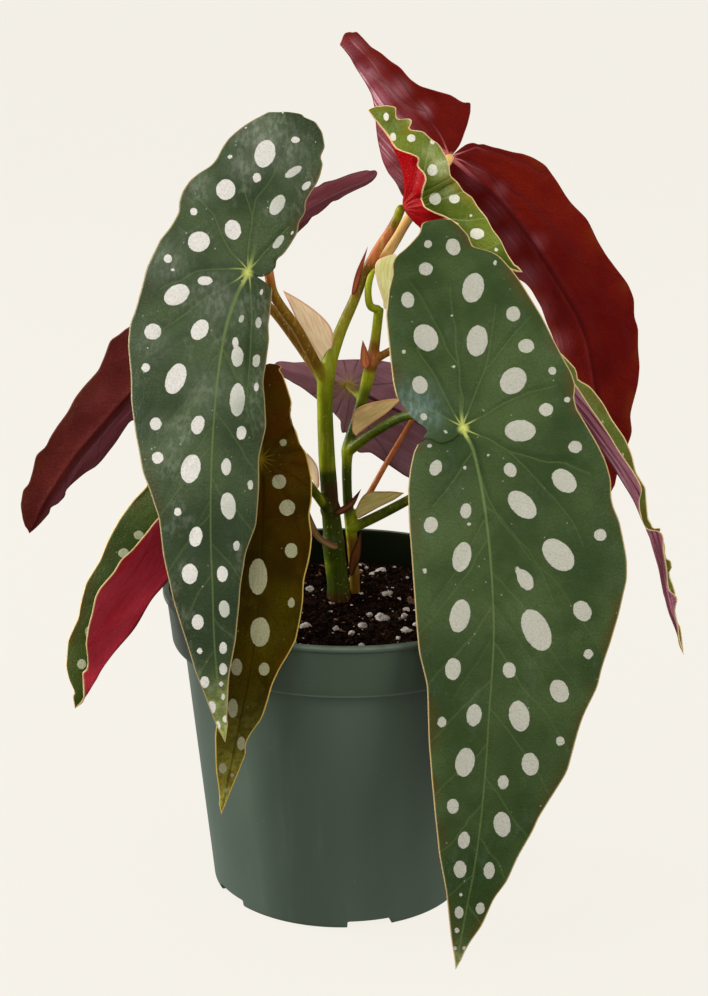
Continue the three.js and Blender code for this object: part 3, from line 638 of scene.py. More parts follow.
leafFinish = {
    "frontLeft": {
        "dark": rgb(40, 56, 27), "light": rgb(70, 85, 52), "blush": rgb(62, 58, 26), "deep": rgb(24, 40, 14),
        "spot": rgb(214, 210, 202), "spotGrain": rgb(166, 162, 151), "vein": rgb(98, 116, 62), "rayShare": 0.4,
        "star": rgb(180, 188, 96), "margin": rgb(158, 138, 92), "dust": rgb(150, 156, 138), "roughness": 0.5,
        "spotShade": rgb(146, 154, 134), "pale": rgb(152, 160, 84), "gloss": 0.14,
    },
    "frontRight": {
        "dark": rgb(44, 63, 25), "light": rgb(70, 87, 46), "blush": rgb(72, 58, 16), "deep": rgb(36, 54, 20),
        "spot": rgb(180, 178, 164), "spotGrain": rgb(138, 138, 122), "vein": rgb(98, 116, 66), "rayShare": 0.34,
        "star": rgb(194, 200, 104), "margin": rgb(200, 172, 118), "dust": rgb(112, 134, 126), "roughness": 0.48,
        "pale": rgb(150, 156, 104), "gloss": 0.12, "dustAndSheenShare": 0.07,
    },
    "green": {
        "dark": rgb(42, 60, 28), "light": rgb(68, 86, 44), "blush": rgb(74, 66, 24),
        "spot": rgb(205, 204, 190), "spotGrain": rgb(160, 160, 142), "vein": rgb(92, 108, 58),
        "star": rgb(190, 186, 110), "margin": rgb(168, 146, 92), "dust": rgb(120, 130, 112), "roughness": 0.5,
        "gloss": 0.12,
    },
    "olive": {
        "dark": rgb(34, 25, 0), "light": rgb(58, 48, 1), "blush": rgb(70, 42, 1), "deep": rgb(58, 28, 1),
        "spot": rgb(136, 134, 104), "spotGrain": rgb(102, 102, 76), "vein": rgb(40, 26, 1),
        "star": rgb(104, 86, 14), "margin": rgb(196, 166, 86), "dust": rgb(78, 70, 14), "roughness": 0.6,
        "pale": rgb(146, 142, 60), "gloss": 0.01,
    },
    "youngGreen": {
        "dark": rgb(74, 90, 10), "light": rgb(118, 132, 48), "blush": rgb(128, 112, 14), "deep": rgb(60, 78, 8),
        "spot": rgb(230, 228, 210), "spotGrain": rgb(196, 200, 170), "vein": rgb(160, 168, 92),
        "star": rgb(190, 192, 110), "margin": rgb(236, 202, 146), "dust": rgb(170, 182, 130), "roughness": 0.45,
        "pale": rgb(186, 190, 140), "gloss": 0.08,
    },
    "shadedGreen": {
        "dark": rgb(46, 60, 12), "light": rgb(70, 84, 34), "blush": rgb(72, 60, 18),
        "spot": rgb(170, 172, 140), "spotGrain": rgb(136, 140, 106), "vein": rgb(80, 90, 46),
        "star": rgb(120, 120, 60), "margin": rgb(222, 190, 128), "dust": rgb(104, 112, 74), "roughness": 0.5,
        "gloss": 0.08,
    },
    "foldedGreen": {
        "dark": rgb(78, 90, 20), "light": rgb(108, 120, 56), "blush": rgb(92, 78, 18),
        "spot": rgb(176, 176, 138), "spotGrain": rgb(142, 146, 106), "vein": rgb(106, 114, 56),
        "star": rgb(160, 160, 90), "margin": rgb(232, 200, 142), "dust": rgb(124, 128, 80), "roughness": 0.48,
        "gloss": 0.08,
    },
    "maroon": {
        "dark": rgb(86, 5, 1), "light": rgb(108, 18, 1), "blush": rgb(110, 38, 2), "bloom": rgb(150, 82, 92),
        "sheen": rgb(218, 172, 180), "sheenShare": 0.85, "bloomAndSheenShare": 0.02,
        "vein": rgb(66, 8, 8), "nearVein": rgb(172, 84, 90), "star": rgb(214, 128, 128), "margin": rgb(110, 30, 18),
        "roughness": 0.5,
    },
    "redBrown": {
        "dark": rgb(70, 16, 13), "light": rgb(94, 32, 26), "blush": rgb(76, 26, 12), "bloom": rgb(116, 60, 68),
        "sheen": rgb(156, 118, 130), "sheenShare": 0.45, "bloomAndSheenSide": 1, "lobeBloomAndSheen": 1.0,
        "vein": rgb(50, 10, 8), "star": rgb(150, 90, 60), "margin": rgb(92, 50, 30), "roughness": 0.5,
    },
    "mauve": {
        "dark": rgb(132, 74, 79), "light": rgb(186, 128, 138), "blush": rgb(140, 56, 50), "bloom": rgb(166, 124, 136),
        "sheen": rgb(200, 168, 180), "sheenShare": 0.6, "bloomAndSheenShare": 0.7,
        "vein": rgb(62, 26, 32), "star": rgb(200, 186, 60), "margin": rgb(120, 80, 80), "roughness": 0.5,
    },
    # the crimson is brighter than the leaf's own red: painted light shining through the blade
    "crimson": {
        "dark": rgb(186, 22, 36), "light": rgb(222, 54, 68), "blush": rgb(186, 30, 40), "bloom": rgb(214, 66, 84),
        "sheen": rgb(224, 110, 124), "sheenShare": 0.25, "bloomAndSheenShare": 0.7,
        "vein": rgb(116, 12, 26), "star": rgb(190, 80, 70), "margin": rgb(230, 196, 146), "roughness": 0.5,
    },
    "scarlet": {
        "dark": rgb(134, 0, 1), "light": rgb(160, 2, 5), "blush": rgb(126, 2, 3), "bloom": rgb(154, 4, 8),
        "sheen": rgb(180, 30, 38), "sheenShare": 0.1, "bloomAndSheenShare": 0.7,
        "vein": rgb(104, 2, 4), "star": rgb(190, 60, 50), "margin": rgb(230, 190, 140), "roughness": 0.42,
    },
    "pink": {
        "dark": rgb(158, 58, 80), "light": rgb(210, 122, 144), "blush": rgb(150, 50, 66), "bloom": rgb(218, 148, 166),
        "sheen": rgb(240, 210, 218), "sheenShare": 0.9, "bloomAndSheenShare": 0.7,
        "vein": rgb(100, 34, 42), "star": rgb(196, 90, 80), "margin": rgb(218, 180, 152), "roughness": 0.45,
        "furrow": rgb(92, 30, 38),
    },
}
veinSway = 1.4            # mm


def drawnVeins(wire, veins):
    # mm from the nearest of the veins, each a list of places (along, across)
    place = wire.pair(wire.attribute("along"), wire.attribute("across"))
    sway = wire.vector("SUBTRACT", wire.noiseAt(place, 0.12, 1.0, output="Color"), (0.5, 0.5, 0.5))
    place = wire.vector("ADD", place, wire.vector("SCALE", sway, veinSway))
    place = wire.vector("MULTIPLY", place, (1, 1, 0))
    distances = []
    for start, end in veinPieces(veins):
        step = (end[0] - start[0], end[1] - start[1], 0)
        away = wire.vector("SUBTRACT", place, (*start, 0))
        t = wire.vector("DOT_PRODUCT", away, step, "Value") * (1 / (step[0] ** 2 + step[1] ** 2))
        foot = wire.vector("SCALE", step, t.larger(0.0).smaller(1.0))
        distances.append(wire.vector("DISTANCE", away, foot, "Value"))
    return smallest(distances)


def rayVeins(wire, radius, out, along, sign):
    # mm from the nearest of the main veins that spread from the stalk
    angle = wire.maths("ARCTAN2", out, along) + sign * rayShift + radius * rayBend
    angle = angle + (wire.grain(22, 2) - 0.5) * 0.10
    return smallest([abs(angle - a) for a in rayAngles]) * radius


def veinMasks(wire, veins):
    # the same veins as veinDistances, in the shader: masks of the midrib, main veins, side veins,
    # the star round the stalk and the dip along the veins, and how many mm away the stalk is
    along, across = wire.attribute("along"), wire.attribute("across")
    out = abs(across)
    radius = (along * along + across * across) ** 0.5
    sign = wire.maths("SIGN", across)
    main = drawnVeins(wire, veins) if veins else rayVeins(wire, radius, out, along, sign)
    lean = along - out * veinLean + sign * veinOffset + (wire.grain(16, 2) - 0.5) * 8
    phase = wire.maths("FRACT", lean / veinSpacing)
    side = abs(phase - 0.5) * (veinSpacing * 0.6)
    rib = (out * radius.fade(4, 60, 1, 1.9)).fade(0.2, 0.75, 1, 0) * along.fade(-12, -1, 0, 1)
    ray = main.fade(0.05, 0.38, 1, 0) * radius.fade(6, 55, 1, 0.35)
    side = side.fade(0.06, 0.4, 1, 0) * lean.fade(12, 18) * out.fade(6, 30, 1, 0.35)
    groove = main.fade(0.0, 2.0, 1, 0) * radius.fade(8, 60, 1, 0.45)
    star = radius.fade(0.3, 2.2, 1, 0).larger(radius.fade(1.2, 6, 0.7, 0) * rib.larger(ray))
    return rib, ray, side, star, groove, radius


leafPattern = {           # sizes in mm
    "patch": 26, "mottle": 9, "grit": 0.7, "cell": 1.1, "blush": 14, "blushReach": 5, "dustAndSheenCloud": 11,
    "dustAndSheenStreak": 1.3, "pale": 1.6, "speck": 0.42, "dotSpacing": 2.6, "spotEdge": 1.3, "rim": 0.55,
}


def bloomAndSheenOver(wire, plan, color, groove):
    # a pale bloom tone with a painted sheen in streaks that run along the blade, a painted sheen along the vein dips,
    # and dark furrows where the plan has them
    along, across = wire.attribute("along"), wire.attribute("across")
    flow = wire.pair(along * 0.035, across * 0.33)
    half = (across * plan["bloomAndSheenSide"]).fade(-1, 4) if "bloomAndSheenSide" in plan else plan["bloomAndSheenShare"]
    lobe = along.fade(-16, -4, plan.get("lobeBloomAndSheen", 0.0) * 1.2, 0)
    bloomAndSheenMask = wire.attribute("bloomAndSheenMask").larger(lobe.larger(half))
    sheen = wire.noiseAt(wire.vector("MULTIPLY", flow, (0.6, 3.6, 1)), detail=2.0).fade(0.5, 0.72)
    color = wire.paint(
        color,
        ((wire.noiseAt(flow).fade(0.36, 0.6) * 0.45 + 0.5) * bloomAndSheenMask, plan["bloom"]),
        (sheen * bloomAndSheenMask * bloomAndSheenMask * plan["sheenShare"], plan["sheen"]),
        (groove * bloomAndSheenMask * 0.5, plan["sheen"]),
    )
    if "furrow" in plan:
        furrow = wire.noiseAt(wire.vector("MULTIPLY", flow, (0.8, 2.6, 1)))
        color = wire.mix(furrow.fade(0.48, 0.6) * 0.75, color, plan["furrow"])
    return color


def dustAndSheenOver(wire, plan, color):
    # dust with a painted sheen: pale patches and clouds where the blade catches the light
    streak = wire.grain(leafPattern["dustAndSheenStreak"], 5, (1, 1, 0.35)).fade(0.4, 0.66)
    cloud = wire.grain(leafPattern["dustAndSheenCloud"], 4).fade(0.5, 0.68)
    return wire.paint(
        color,
        (wire.attribute("dust") * (streak * 0.4 + 0.3), plan["dust"]),
        (cloud * streak * plan.get("dustAndSheenShare", 0.22), plan["dust"]),
    )


def spotsOver(wire, plan, color, ray):
    edge = wire.attribute("spot") + (wire.grain(leafPattern["spotEdge"], 3) - 0.5) * 0.55
    spot = edge.fade(-0.1, 0.12, 1, 0)
    speck = wire.grain(leafPattern["speck"], 3).fade(0.4, 0.75)
    spotColor = wire.paint(plan["spot"], (speck * 0.55, plan["spotGrain"]), (ray * 0.3, plan["spotGrain"]))
    # painted shade on the spots where the blade turns away from the light
    if "spotShade" in plan:
        spotColor = wire.mix(wire.attribute("dim"), spotColor, plan["spotShade"])
    dots = wire.cells(leafPattern["dotSpacing"]).fade(0.05, 0.12, 1, 0) * wire.grain(7, 1).fade(0.55, 0.6)
    return wire.mix(spot.larger(dots * 0.5), color, spotColor), spot


def leafSkin(name, finish, veins=()):
    plan, size = leafFinish[finish], leafPattern
    material, wire = newShader(name)
    rib, ray, side, star, groove, radius = veinMasks(wire, veins)
    margin = wire.attribute("margin")
    fine = wire.cells(size["cell"], "DISTANCE_TO_EDGE").fade(0, 0.12)
    blush = margin.fade(0.5, size["blushReach"], 0.7, 0) * wire.grain(size["blush"], 3).fade(0.45, 0.62)
    color = wire.paint(
        wire.mix(wire.grain(size["patch"], 3).fade(0.36, 0.64), plan["dark"], plan["light"]),
        (wire.grain(size["mottle"], 4).fade(0.45, 0.75) * 0.35, plan["light"]),
        (wire.grain(size["grit"], 2).fade(0.45, 0.8) * 0.3, plan["dark"]),
        (fine.fade(0.1, 0.8, 0.4, 0), plan["dark"]),
        (blush, plan["blush"]),
    )
    if "bloom" in plan:
        color = bloomAndSheenOver(wire, plan, color, groove)
    # painted shade in the dip along the veins
    color = wire.mix(groove * 0.4, color, plan["dark"])
    # painted shade: patches darkened where the blade lies in shade
    if "deep" in plan:
        color = wire.mix(wire.attribute("deep"), color, plan["deep"])
    # pale patches: the tips' own paler colour, and on the young top leaf a painted highlight
    if "pale" in plan:
        share = wire.grain(size["pale"], 3).fade(0.35, 0.6) * 0.5 + 0.5
        color = wire.mix(wire.attribute("pale") * share, color, plan["pale"])
    if "dust" in plan:
        color = dustAndSheenOver(wire, plan, color)
    ribLine = rib * radius.fade(6, 90, 0.85, 0.5)
    veinLines = (ray * plan.get("rayShare", 0.5)).larger(side * 0.22).larger(ribLine)
    color = wire.mix(veinLines, color, plan["vein"])
    if "nearVein" in plan:
        color = wire.mix(rib.larger(ray * 0.6) * radius.fade(3, 15, 1, 0.04), color, plan["nearVein"])
    color = wire.mix(star, color, plan["star"])
    rough = wire.grain(3, 3) * 0.16 + (plan["roughness"] - 0.08)
    height = fine * 0.3 + wire.grain(0.6, 2) * 0.3 + wire.grain(2.6, 3) * 0.9 - veinLines * 0.5 - groove * 1.5
    if "spot" in plan:
        color, spot = spotsOver(wire, plan, color, ray)
        rough = rough + spot * 0.12
        height = height + spot * 0.3
    color = wire.mix(margin.fade(0.1, size["rim"], 0.9, 0), color, plan["margin"])
    surface(wire, {
        "Base Color": color, "Roughness": rough, "Normal": wire.bump(height, 0.55, 0.45),
        "Specular IOR Level": plan.get("gloss", 0.04),
    })
    return material


# Leaves: skins are the finishes above and below, under is 1 where the underside faces the camera
# and -1 where it faces away. Margins (by half), veins, spots and patches were read off the photo.

leafPlans = {
    "leaf_front_left": {
        "skins": ("frontLeft", "maroon"), "slot": "leaf_green_spotted", "under": -1, "joint": 5, "slit": 1,
        "slitOpen": 0.35, "curl": -14,
        "stations": [
            [-17, 2, 240, 0, -6, 0, -10],
            [-17, 1, 237, 8, -6, 9, -10],
            [-19, -2, 230, 14, -6, 12, -12],
            [-22, -7, 219, 20, -6, 12, -14],
            [-25, -12, 208, 24, -6, 10, -16],
            [-28, -18, 197, 28, -6, 8, -18],
            [-31, -21, 191, 28, -6, 12, -18],
            [-34, -26, 182, 28, -6, 14, -18],
            [-36, -35, 168, 26, -6, 16, -18],
            [-37, -43, 151, 22, -6, 15, -18],
            [-37, -52, 133, 15, -6, 14, -18],
            [-36, -61, 115, 11, -6, 9, -18],
            [-35, -67, 98, 7, -6, 5, -15],
            [-33, -71, 83, 3, -6, 2, -10],
            [-32, -73, 75, 0, 0, 0, 0],
        ],
        "spots": [
            (265, 154, 20, 28, 15), (226, 190, 19, 21), (199, 242, 22, 20, -20), (233, 230, 16, 20, -12),
            (257, 178, 8, 10), (293, 172, 8, 19, 58), (295, 140, 9, 6), (306, 186, 6, 11, 45),
            (277, 205, 13, 22, 30), (278, 242, 7, 16, 38), (230, 157, 5), (194, 212, 7, 8, -20), (168, 259, 8, 9),
            (205, 281, 15, 9), (177, 295, 19, 27, 60), (261, 292, 3, 6, 10), (153, 332, 17, 16),
            (200, 330, 16, 22, 32), (241, 319, 5, 8, 20), (258, 323, 6, 11, 5), (237, 357, 12, 20),
            (235, 343, 6, 12), (256, 361, 8, 13, 5), (176, 379, 19, 32, 22), (146, 368, 9), (256, 387, 5, 9),
            (237, 400, 15, 33, 2), (156, 424, 12, 13), (198, 425, 13, 19, 15), (241, 433, 10, 14), (158, 458, 12),
            (191, 469, 19, 29, 14), (226, 467, 10, 17), (250, 485, 6, 10), (228, 506, 15, 27, -8), (178, 512, 8),
            (196, 537, 13, 20, 8), (236, 546, 7, 10), (190, 574, 16, 20), (222, 574, 11, 16, -5),
            (224, 609, 11, 17, -8), (198, 622, 12, 15), (223, 648, 8, 12), (200, 651, 6), (223, 669, 8, 12),
            (205, 682, 9, 12), (221, 684, 5), (223, 697, 4, 7), (212, 707, 8, 12), (225, 719, 5, 7),
            (218, 726, 5, 10), (283, 113, 2), (246, 128, 2), (198, 189, 2), (173, 270, 5, 3), (148, 349, 4, 3),
            (292, 233, 2, 6, 35),
        ],
        "margins": {
            -1: [[(292, 111), (280, 113), (268, 113), (255, 119), (245, 125), (237, 131), (228, 139), (222, 148),
                  (216, 160), (210, 167), (200, 172), (190, 180), (182, 192), (179, 202), (179, 212), (170, 228),
                  (160, 240), (153, 255), (146, 270), (141, 290), (137, 305), (130, 324), (128, 345), (131, 375),
                  (131, 401), (135, 430), (143, 473), (148, 485), (159, 518), (163, 554), (174, 603), (188, 647),
                  (195, 670), (204, 693), (214, 720), (223, 740)]],
            1: [[(292, 111), (300, 112), (305, 118), (315, 121), (322, 132), (325, 147), (320, 158), (323, 163),
                 (320, 176), (317, 183), (308, 197), (305, 205), (306, 212), (299, 222), (297, 233), (290, 245),
                 (283, 255), (272, 262)],
                [(270, 280), (272, 290), (271, 305), (268, 325), (269, 340), (266, 360), (263, 380), (265, 400),
                 (266, 427), (259, 458), (259, 490), (256, 526), (245, 554), (240, 592), (236, 639), (229, 677),
                 (227, 718), (229, 743)]],
        },
        "veins": [
            [(248, 271), (249, 250), (251, 232), (252, 214), (248, 198), (245, 183), (243, 165), (243, 148)],
            [(252, 214), (258, 200), (266, 185), (275, 170), (284, 154), (290, 138)],
            [(248, 271), (232, 252), (222, 235), (212, 215), (200, 200), (188, 190)],
            [(248, 271), (228, 270), (212, 269), (198, 271), (180, 279), (160, 290)],
            [(248, 271), (225, 288), (208, 297), (190, 310), (168, 328), (148, 350)],
            [(248, 271), (252, 300), (252, 330), (249, 365), (246, 395)],
            [(248, 271), (262, 255), (274, 243), (288, 228)],
            [(219, 356), (205, 375), (186, 398), (166, 424)], [(213, 425), (198, 446), (178, 474), (166, 500)],
            [(222, 345), (234, 372), (246, 405), (254, 440)], [(211, 500), (198, 522), (184, 548)],
        ],
        "dust": [(262, 135, 24, 0.8), (246, 165, 18, 0.6), (286, 150, 26, 0.45), (168, 262, 22, 0.5),
                 (196, 185, 18, 0.35), (216, 300, 26, 0.5), (206, 390, 24, 0.4), (150, 345, 20, 0.3),
                 (170, 440, 26, 0.25)],
        "deep": [(222, 620, 80, 0.8), (262, 440, 40, 0.5), (300, 205, 16, 0.4), (213, 535, 50, 0.8),
                 (296, 124, 20, 0.5), (157, 278, 22, 0.4)],
        "pale": [(226, 738, 22, 1.3), (213, 708, 16, 0.7), (226, 700, 20, 0.5)],
        "dim": [(250, 320, 18, 0.8), (252, 365, 22, 0.8), (244, 410, 20, 0.75), (250, 470, 22, 0.8),
                (232, 510, 20, 0.5), (238, 550, 18, 0.6), (228, 610, 20, 0.6), (226, 660, 16, 0.5),
                (288, 200, 26, 0.5), (296, 175, 14, 0.5), (280, 242, 14, 0.6), (224, 690, 16, 0.4)],
    },
    "leaf_front_right": {
        "skins": ("frontRight", "maroon"), "slot": "leaf_green_spotted", "under": -1, "joint": 6, "slit": -1,
        "lobeRound": 1.0, "lobeDrop": 0.62, "lobeLift": 1.6, "slitOpen": 0.4, "curl": -8,
        "stations": [
            [28, -12, 212, 0, -4, 0, -8],
            [28, -13, 209, 8, -4, 6, -8],
            [29, -15, 201, 16, -4, 13, -8],
            [31, -19, 190, 19, -4, 23, -8],
            [32, -24, 178, 19, -4, 29, -8],
            [33, -29, 166, 18, -4, 34, -8],
            [34, -34, 156, 18, -4, 34, -8],
            [37, -37, 150, 18, -4, 34, -8],
            [40, -43, 137, 22, -4, 38, -8],
            [42, -51, 121, 23, -4, 41, -8],
            [43, -58, 102, 22, -4, 37, -8],
            [42, -64, 82, 18, -4, 29, -8],
            [41, -68, 61, 15, -4, 22, -8],
            [39, -71, 39, 10, -4, 12, -8],
            [36, -72, 19, 4, -4, 5, -8],
            [34, -73, 5, 0, 0, 0, 0],
        ],
        "spots": [
            (428, 244, 8), (453, 247, 14, 17, -15), (426, 269, 14, 13), (495, 263, 3, 6, 20),
            (408, 300, 13, 16, -12), (473, 288, 21, 30, 14), (513, 314, 14, 15), (426, 338, 23, 28, -32),
            (477, 341, 21, 31, 8), (526, 346, 16, 14), (404, 352, 4), (513, 381, 24, 29, 42),
            (420, 385, 15, 18, -20), (552, 371, 8), (567, 400, 6), (546, 410, 14, 13), (424, 417, 7),
            (520, 431, 31, 21), (575, 447, 14, 12), (430, 446, 5, 4), (488, 455, 4, 3), (436, 468, 12, 16, 22),
            (465, 468, 4), (510, 470, 12, 15, -35), (564, 481, 20, 28, -48), (466, 511, 11, 15, 5),
            (431, 525, 14, 16, 15), (522, 505, 21, 34, -46), (469, 524, 5, 4), (600, 535, 13, 12),
            (462, 557, 18, 30, 15), (558, 555, 25, 38, -45), (525, 580, 14, 23, -30), (517, 570, 5, 8, -20),
            (425, 571, 5), (460, 616, 20, 33, 12), (536, 630, 26, 44, -26), (582, 611, 17, 22, -35), (588, 654, 10),
            (453, 669, 16, 22, 5), (509, 670, 13, 16, -10), (559, 691, 18, 24, -25), (474, 715, 15, 22, 8),
            (442, 722, 9, 11), (519, 716, 20, 31, -12), (560, 741, 9), (465, 762, 19, 29, 12),
            (530, 764, 17, 23, -10), (503, 782, 11, 14), (453, 806, 12, 15), (502, 824, 17, 25, -8),
            (464, 840, 12, 17, 5), (460, 869, 13, 17), (489, 870, 11, 17), (461, 894, 4), (459, 912, 9, 12),
            (480, 908, 9, 12), (457, 930, 5), (455, 948, 4), (464, 948, 4), (504, 280, 3, 2), (452, 316, 3),
            (454, 367, 3), (482, 410, 3, 2), (463, 489, 2), (568, 513, 2), (451, 366, 2), (446, 432, 4, 3),
        ],
        "margins": {
            -1: [[(444, 218), (436, 218), (428, 220), (422, 224), (419, 234), (412, 242), (404, 250), (396, 256),
                  (392, 264), (393, 274), (389, 290), (386, 315), (389, 345), (391, 365), (393, 382), (397, 398),
                  (403, 414), (412, 425), (424, 434), (436, 438), (446, 438)],
                 [(420, 440), (414, 452), (410, 470), (408, 489), (409, 521), (413, 575), (416, 620), (419, 653),
                  (427, 685), (429, 745), (433, 794), (439, 854), (446, 891), (451, 939), (456, 968)]],
            1: [[(444, 218), (452, 220), (460, 226), (468, 235), (473, 248), (482, 249), (492, 252), (500, 257),
                 (511, 269), (520, 281), (530, 297), (541, 315), (550, 333), (560, 352), (571, 372), (575, 385),
                 (574, 398), (577, 409), (588, 428), (597, 443), (606, 463), (611, 480), (611, 498), (614, 510),
                 (619, 520), (623, 540), (627, 560), (627, 580), (622, 600), (616, 625), (611, 641), (601, 670),
                 (598, 686), (584, 714), (579, 728), (567, 772), (553, 794), (538, 818), (532, 833), (519, 854),
                 (507, 881), (494, 898), (482, 925), (470, 942), (456, 968)]],
        },
        "veins": [
            [(463, 427), (462, 400), (460, 380), (457, 350), (453, 312), (450, 285)],
            [(463, 427), (476, 397), (484, 372), (489, 350), (493, 325), (495, 305)],
            [(484, 372), (500, 351), (515, 335), (531, 317)],
            [(463, 427), (446, 396), (432, 372), (418, 348)],
            [(459, 366), (446, 345), (430, 312), (411, 284)],
            [(463, 427), (440, 415), (425, 406), (408, 401)],
            [(463, 427), (485, 415), (505, 403), (530, 393), (556, 386)],
            [(463, 427), (490, 440), (508, 452), (530, 475), (552, 498), (572, 524), (584, 548)],
            [(508, 452), (540, 460), (566, 462), (590, 472)],
            [(470, 441), (478, 472), (488, 498), (502, 522), (522, 546), (540, 572), (556, 604)],
            [(474, 449), (460, 470), (448, 490), (434, 506)], [(486, 520), (470, 545), (450, 578), (432, 606)],
            [(491, 600), (510, 628), (532, 660), (556, 700)], [(490, 640), (472, 668), (452, 700)],
        ],
        "pale": [(456, 962, 12, 0.7)],
        "dust": [(414, 408, 22, 1.3), (432, 416, 14, 0.7)],
        "deep": [(446, 478, 40, 0.5), (556, 430, 36, 0.45), (530, 490, 60, 0.45), (450, 660, 60, 0.6),
                 (540, 760, 80, 0.5), (450, 860, 60, 0.5), (590, 560, 40, 0.4)],
    },
    "leaf_low_left_olive": {
        "skins": ("olive", "maroon"), "slot": "leaf_olive_spotted", "under": -1, "joint": 4, "slit": 1,
        "lobeRound": 1.6, "slitOpen": -4.3,
        "pale": [(223, 805, 24, 1.3), (232, 770, 24, 0.5), (244, 730, 30, 0.2)],
        "deep": [(274, 378, 20, 0.7), (278, 420, 26, 0.8), (290, 470, 26, 0.6), (272, 500, 30, 0.5),
                 (296, 540, 22, 0.3)],
        "stations": [
            [-22, -10, 168, 0, -10, 0, -10],
            [-22, -11, 167, 2, -10, 4, -10],
            [-22, -15, 160, 5, -10, 7, -10],
            [-23, -21, 151, 11, -10, 9, -10],
            [-24, -27, 144, 16, -10, 13, -10],
            [-23, -32, 138, 17, -10, 14, -10],
            [-23, -40, 127, 18, -10, 14, -10],
            [-23, -50, 115, 17, -10, 13, -10],
            [-24, -57, 103, 15, -10, 12, -10],
            [-26, -61, 89, 11, -10, 8, -10],
            [-29, -62, 74, 7, -10, 5, -10],
            [-32, -61, 58, 4, -10, 2, -10],
            [-34, -60, 47, 0, 0, 0, 0],
        ],
        "spots": [
            (283, 443, 7), (279, 482, 14), (287, 508, 16), (291, 551, 13, 15), (258, 577, 18, 36), (291, 603, 7, 10),
            (260, 632, 19, 29), (237, 667, 11, 17), (264, 669, 11, 13), (233, 708, 10, 19), (241, 743, 8, 14),
            (223, 768, 8, 11), (226, 790, 4), (232, 775, 4),
        ],
        "scatter": {"seed": 4, "count": 40, "sizes": (1.8, 3, 4.5), "apart": 4, "clear": (264, 355, 330, 830)},
        "margins": {
            1: [[(275, 365), (283, 375), (288, 390), (292, 403), (290, 415)],
                [(288, 417), (296, 430), (300, 445), (306, 452), (309, 465), (312, 480), (312, 500), (309, 515),
                 (312, 535), (311, 550), (308, 565), (304, 580), (303, 600), (300, 620), (296, 640), (288, 655),
                 (280, 668), (272, 685), (268, 700), (262, 718), (250, 735), (243, 748), (236, 765), (228, 785),
                 (225, 800), (222, 815)]],
            -1: [[(218, 715), (215, 735), (216, 770), (219, 790), (220, 805), (222, 817)]],
        },
    },
    "leaf_top_right": {
        "skins": ("green", "maroon"), "slot": "leaf_maroon", "under": 1, "joint": 5, "slit": 1,
        "stations": [
            [-1, 36, 259, 0, -20, 0, -10],
            [1, 35, 256, 4, -20, 3, -10],
            [7, 34, 250, 5, -25, 5, -10],
            [14, 32, 240, 10, -30, 8, -10],
            [23, 31, 230, 18, -30, 16, -10],
            [31, 30, 223, 25, -30, 14, -10],
            [36, 30, 219, 29, -30, 10, -10],
            [47, 32, 209, 31, -30, 17, -10],
            [56, 35, 198, 27, -35, 17, -12],
            [66, 39, 183, 14, -40, 18, -14],
            [75, 43, 167, 12, -40, 19, -14],
            [80, 46, 148, 9, -40, 15, -14],
            [84, 47, 130, 5, -40, 9, -14],
            [84, 46, 117, 2, -30, 4, -14],
            [84, 45, 109, 0, 0, 0, 0],
        ],
        "scatter": {"seed": 11, "count": 90, "sizes": (2, 3.5, 5, 6.5), "apart": 4},
        "slitOpen": 2.5, "narrow": {1: [(5, 6.4, 0.85)]},
        # painted sheen along the lobe's left half and down the midrib
        "bloomAndSheenMask": [(350, 52, 12, 1.0), (362, 76, 14, 1.5), (376, 102, 17, 1.6), (392, 128, 18, 1.5),
                    (408, 144, 16, 1.0), (384, 150, 16, 1.4), (394, 180, 14, 1.4), (398, 90, 10, 0.6),
                    (425, 110, 8, 0.5), (470, 180, 14, 0.25), (492, 212, 13, 0.3), (508, 240, 13, 0.35),
                    (526, 275, 13, 0.5), (536, 312, 14, 0.5), (552, 345, 14, 0.6), (500, 190, 8, 0.2),
                    (540, 240, 9, 0.25)],
        "veins": [
            [(449, 155), (440, 135), (425, 112), (405, 85), (380, 60), (356, 38)],
            [(425, 112), (412, 108), (395, 92), (372, 72)], [(449, 155), (436, 150), (420, 140), (400, 120)],
            [(449, 155), (475, 148), (510, 155), (545, 175)], [(449, 155), (485, 172), (530, 205), (580, 260)],
            [(485, 172), (520, 222), (560, 280), (600, 350)], [(530, 205), (570, 250), (605, 300), (632, 350)],
        ],
        "margins": {
            1: [[(353, 28), (361, 36), (371, 47), (381, 53), (390, 61), (400, 67), (410, 79), (420, 86), (440, 92),
                 (451, 95), (460, 101), (467, 104), (472, 98), (470, 108), (471, 120), (469, 135), (468, 144)],
                [(484, 139), (500, 143), (515, 151), (532, 157), (545, 165), (556, 180), (565, 195), (572, 204),
                 (587, 219), (597, 240), (606, 255), (618, 271), (628, 284), (634, 300), (634, 318), (638, 328),
                 (638, 350), (640, 366), (638, 385), (633, 402), (630, 415), (632, 432), (629, 441), (624, 455),
                 (618, 470), (614, 487)]],
            -1: [[(335, 40), (342, 47), (350, 57), (356, 68), (365, 82), (372, 96), (376, 112), (376, 125),
                  (378, 142), (382, 160), (388, 172), (396, 182), (403, 197)],
                 [(523, 280), (532, 290), (540, 305), (548, 325), (558, 350), (566, 370), (575, 384)]],
        },
    },
    "leaf_top_young": {
        "skins": ("youngGreen", "scarlet"), "slot": "leaf_young_red", "under": -1, "joint": 5, "slit": 0, "curl": -14,
        "curlWidth": 14, "wave": 0.9, "waves": 3.4, "step": 0.6, "narrow": {-1: [(-1, 2.4, 0.25), (7.2, 11, 0.35)]},
        "stations": [
            [6, 9, 240, 0, 140, 0, -15],
            [9, 8, 236, 2, 140, 7, -15],
            [13, 7, 230, 4, 140, 10, -15],
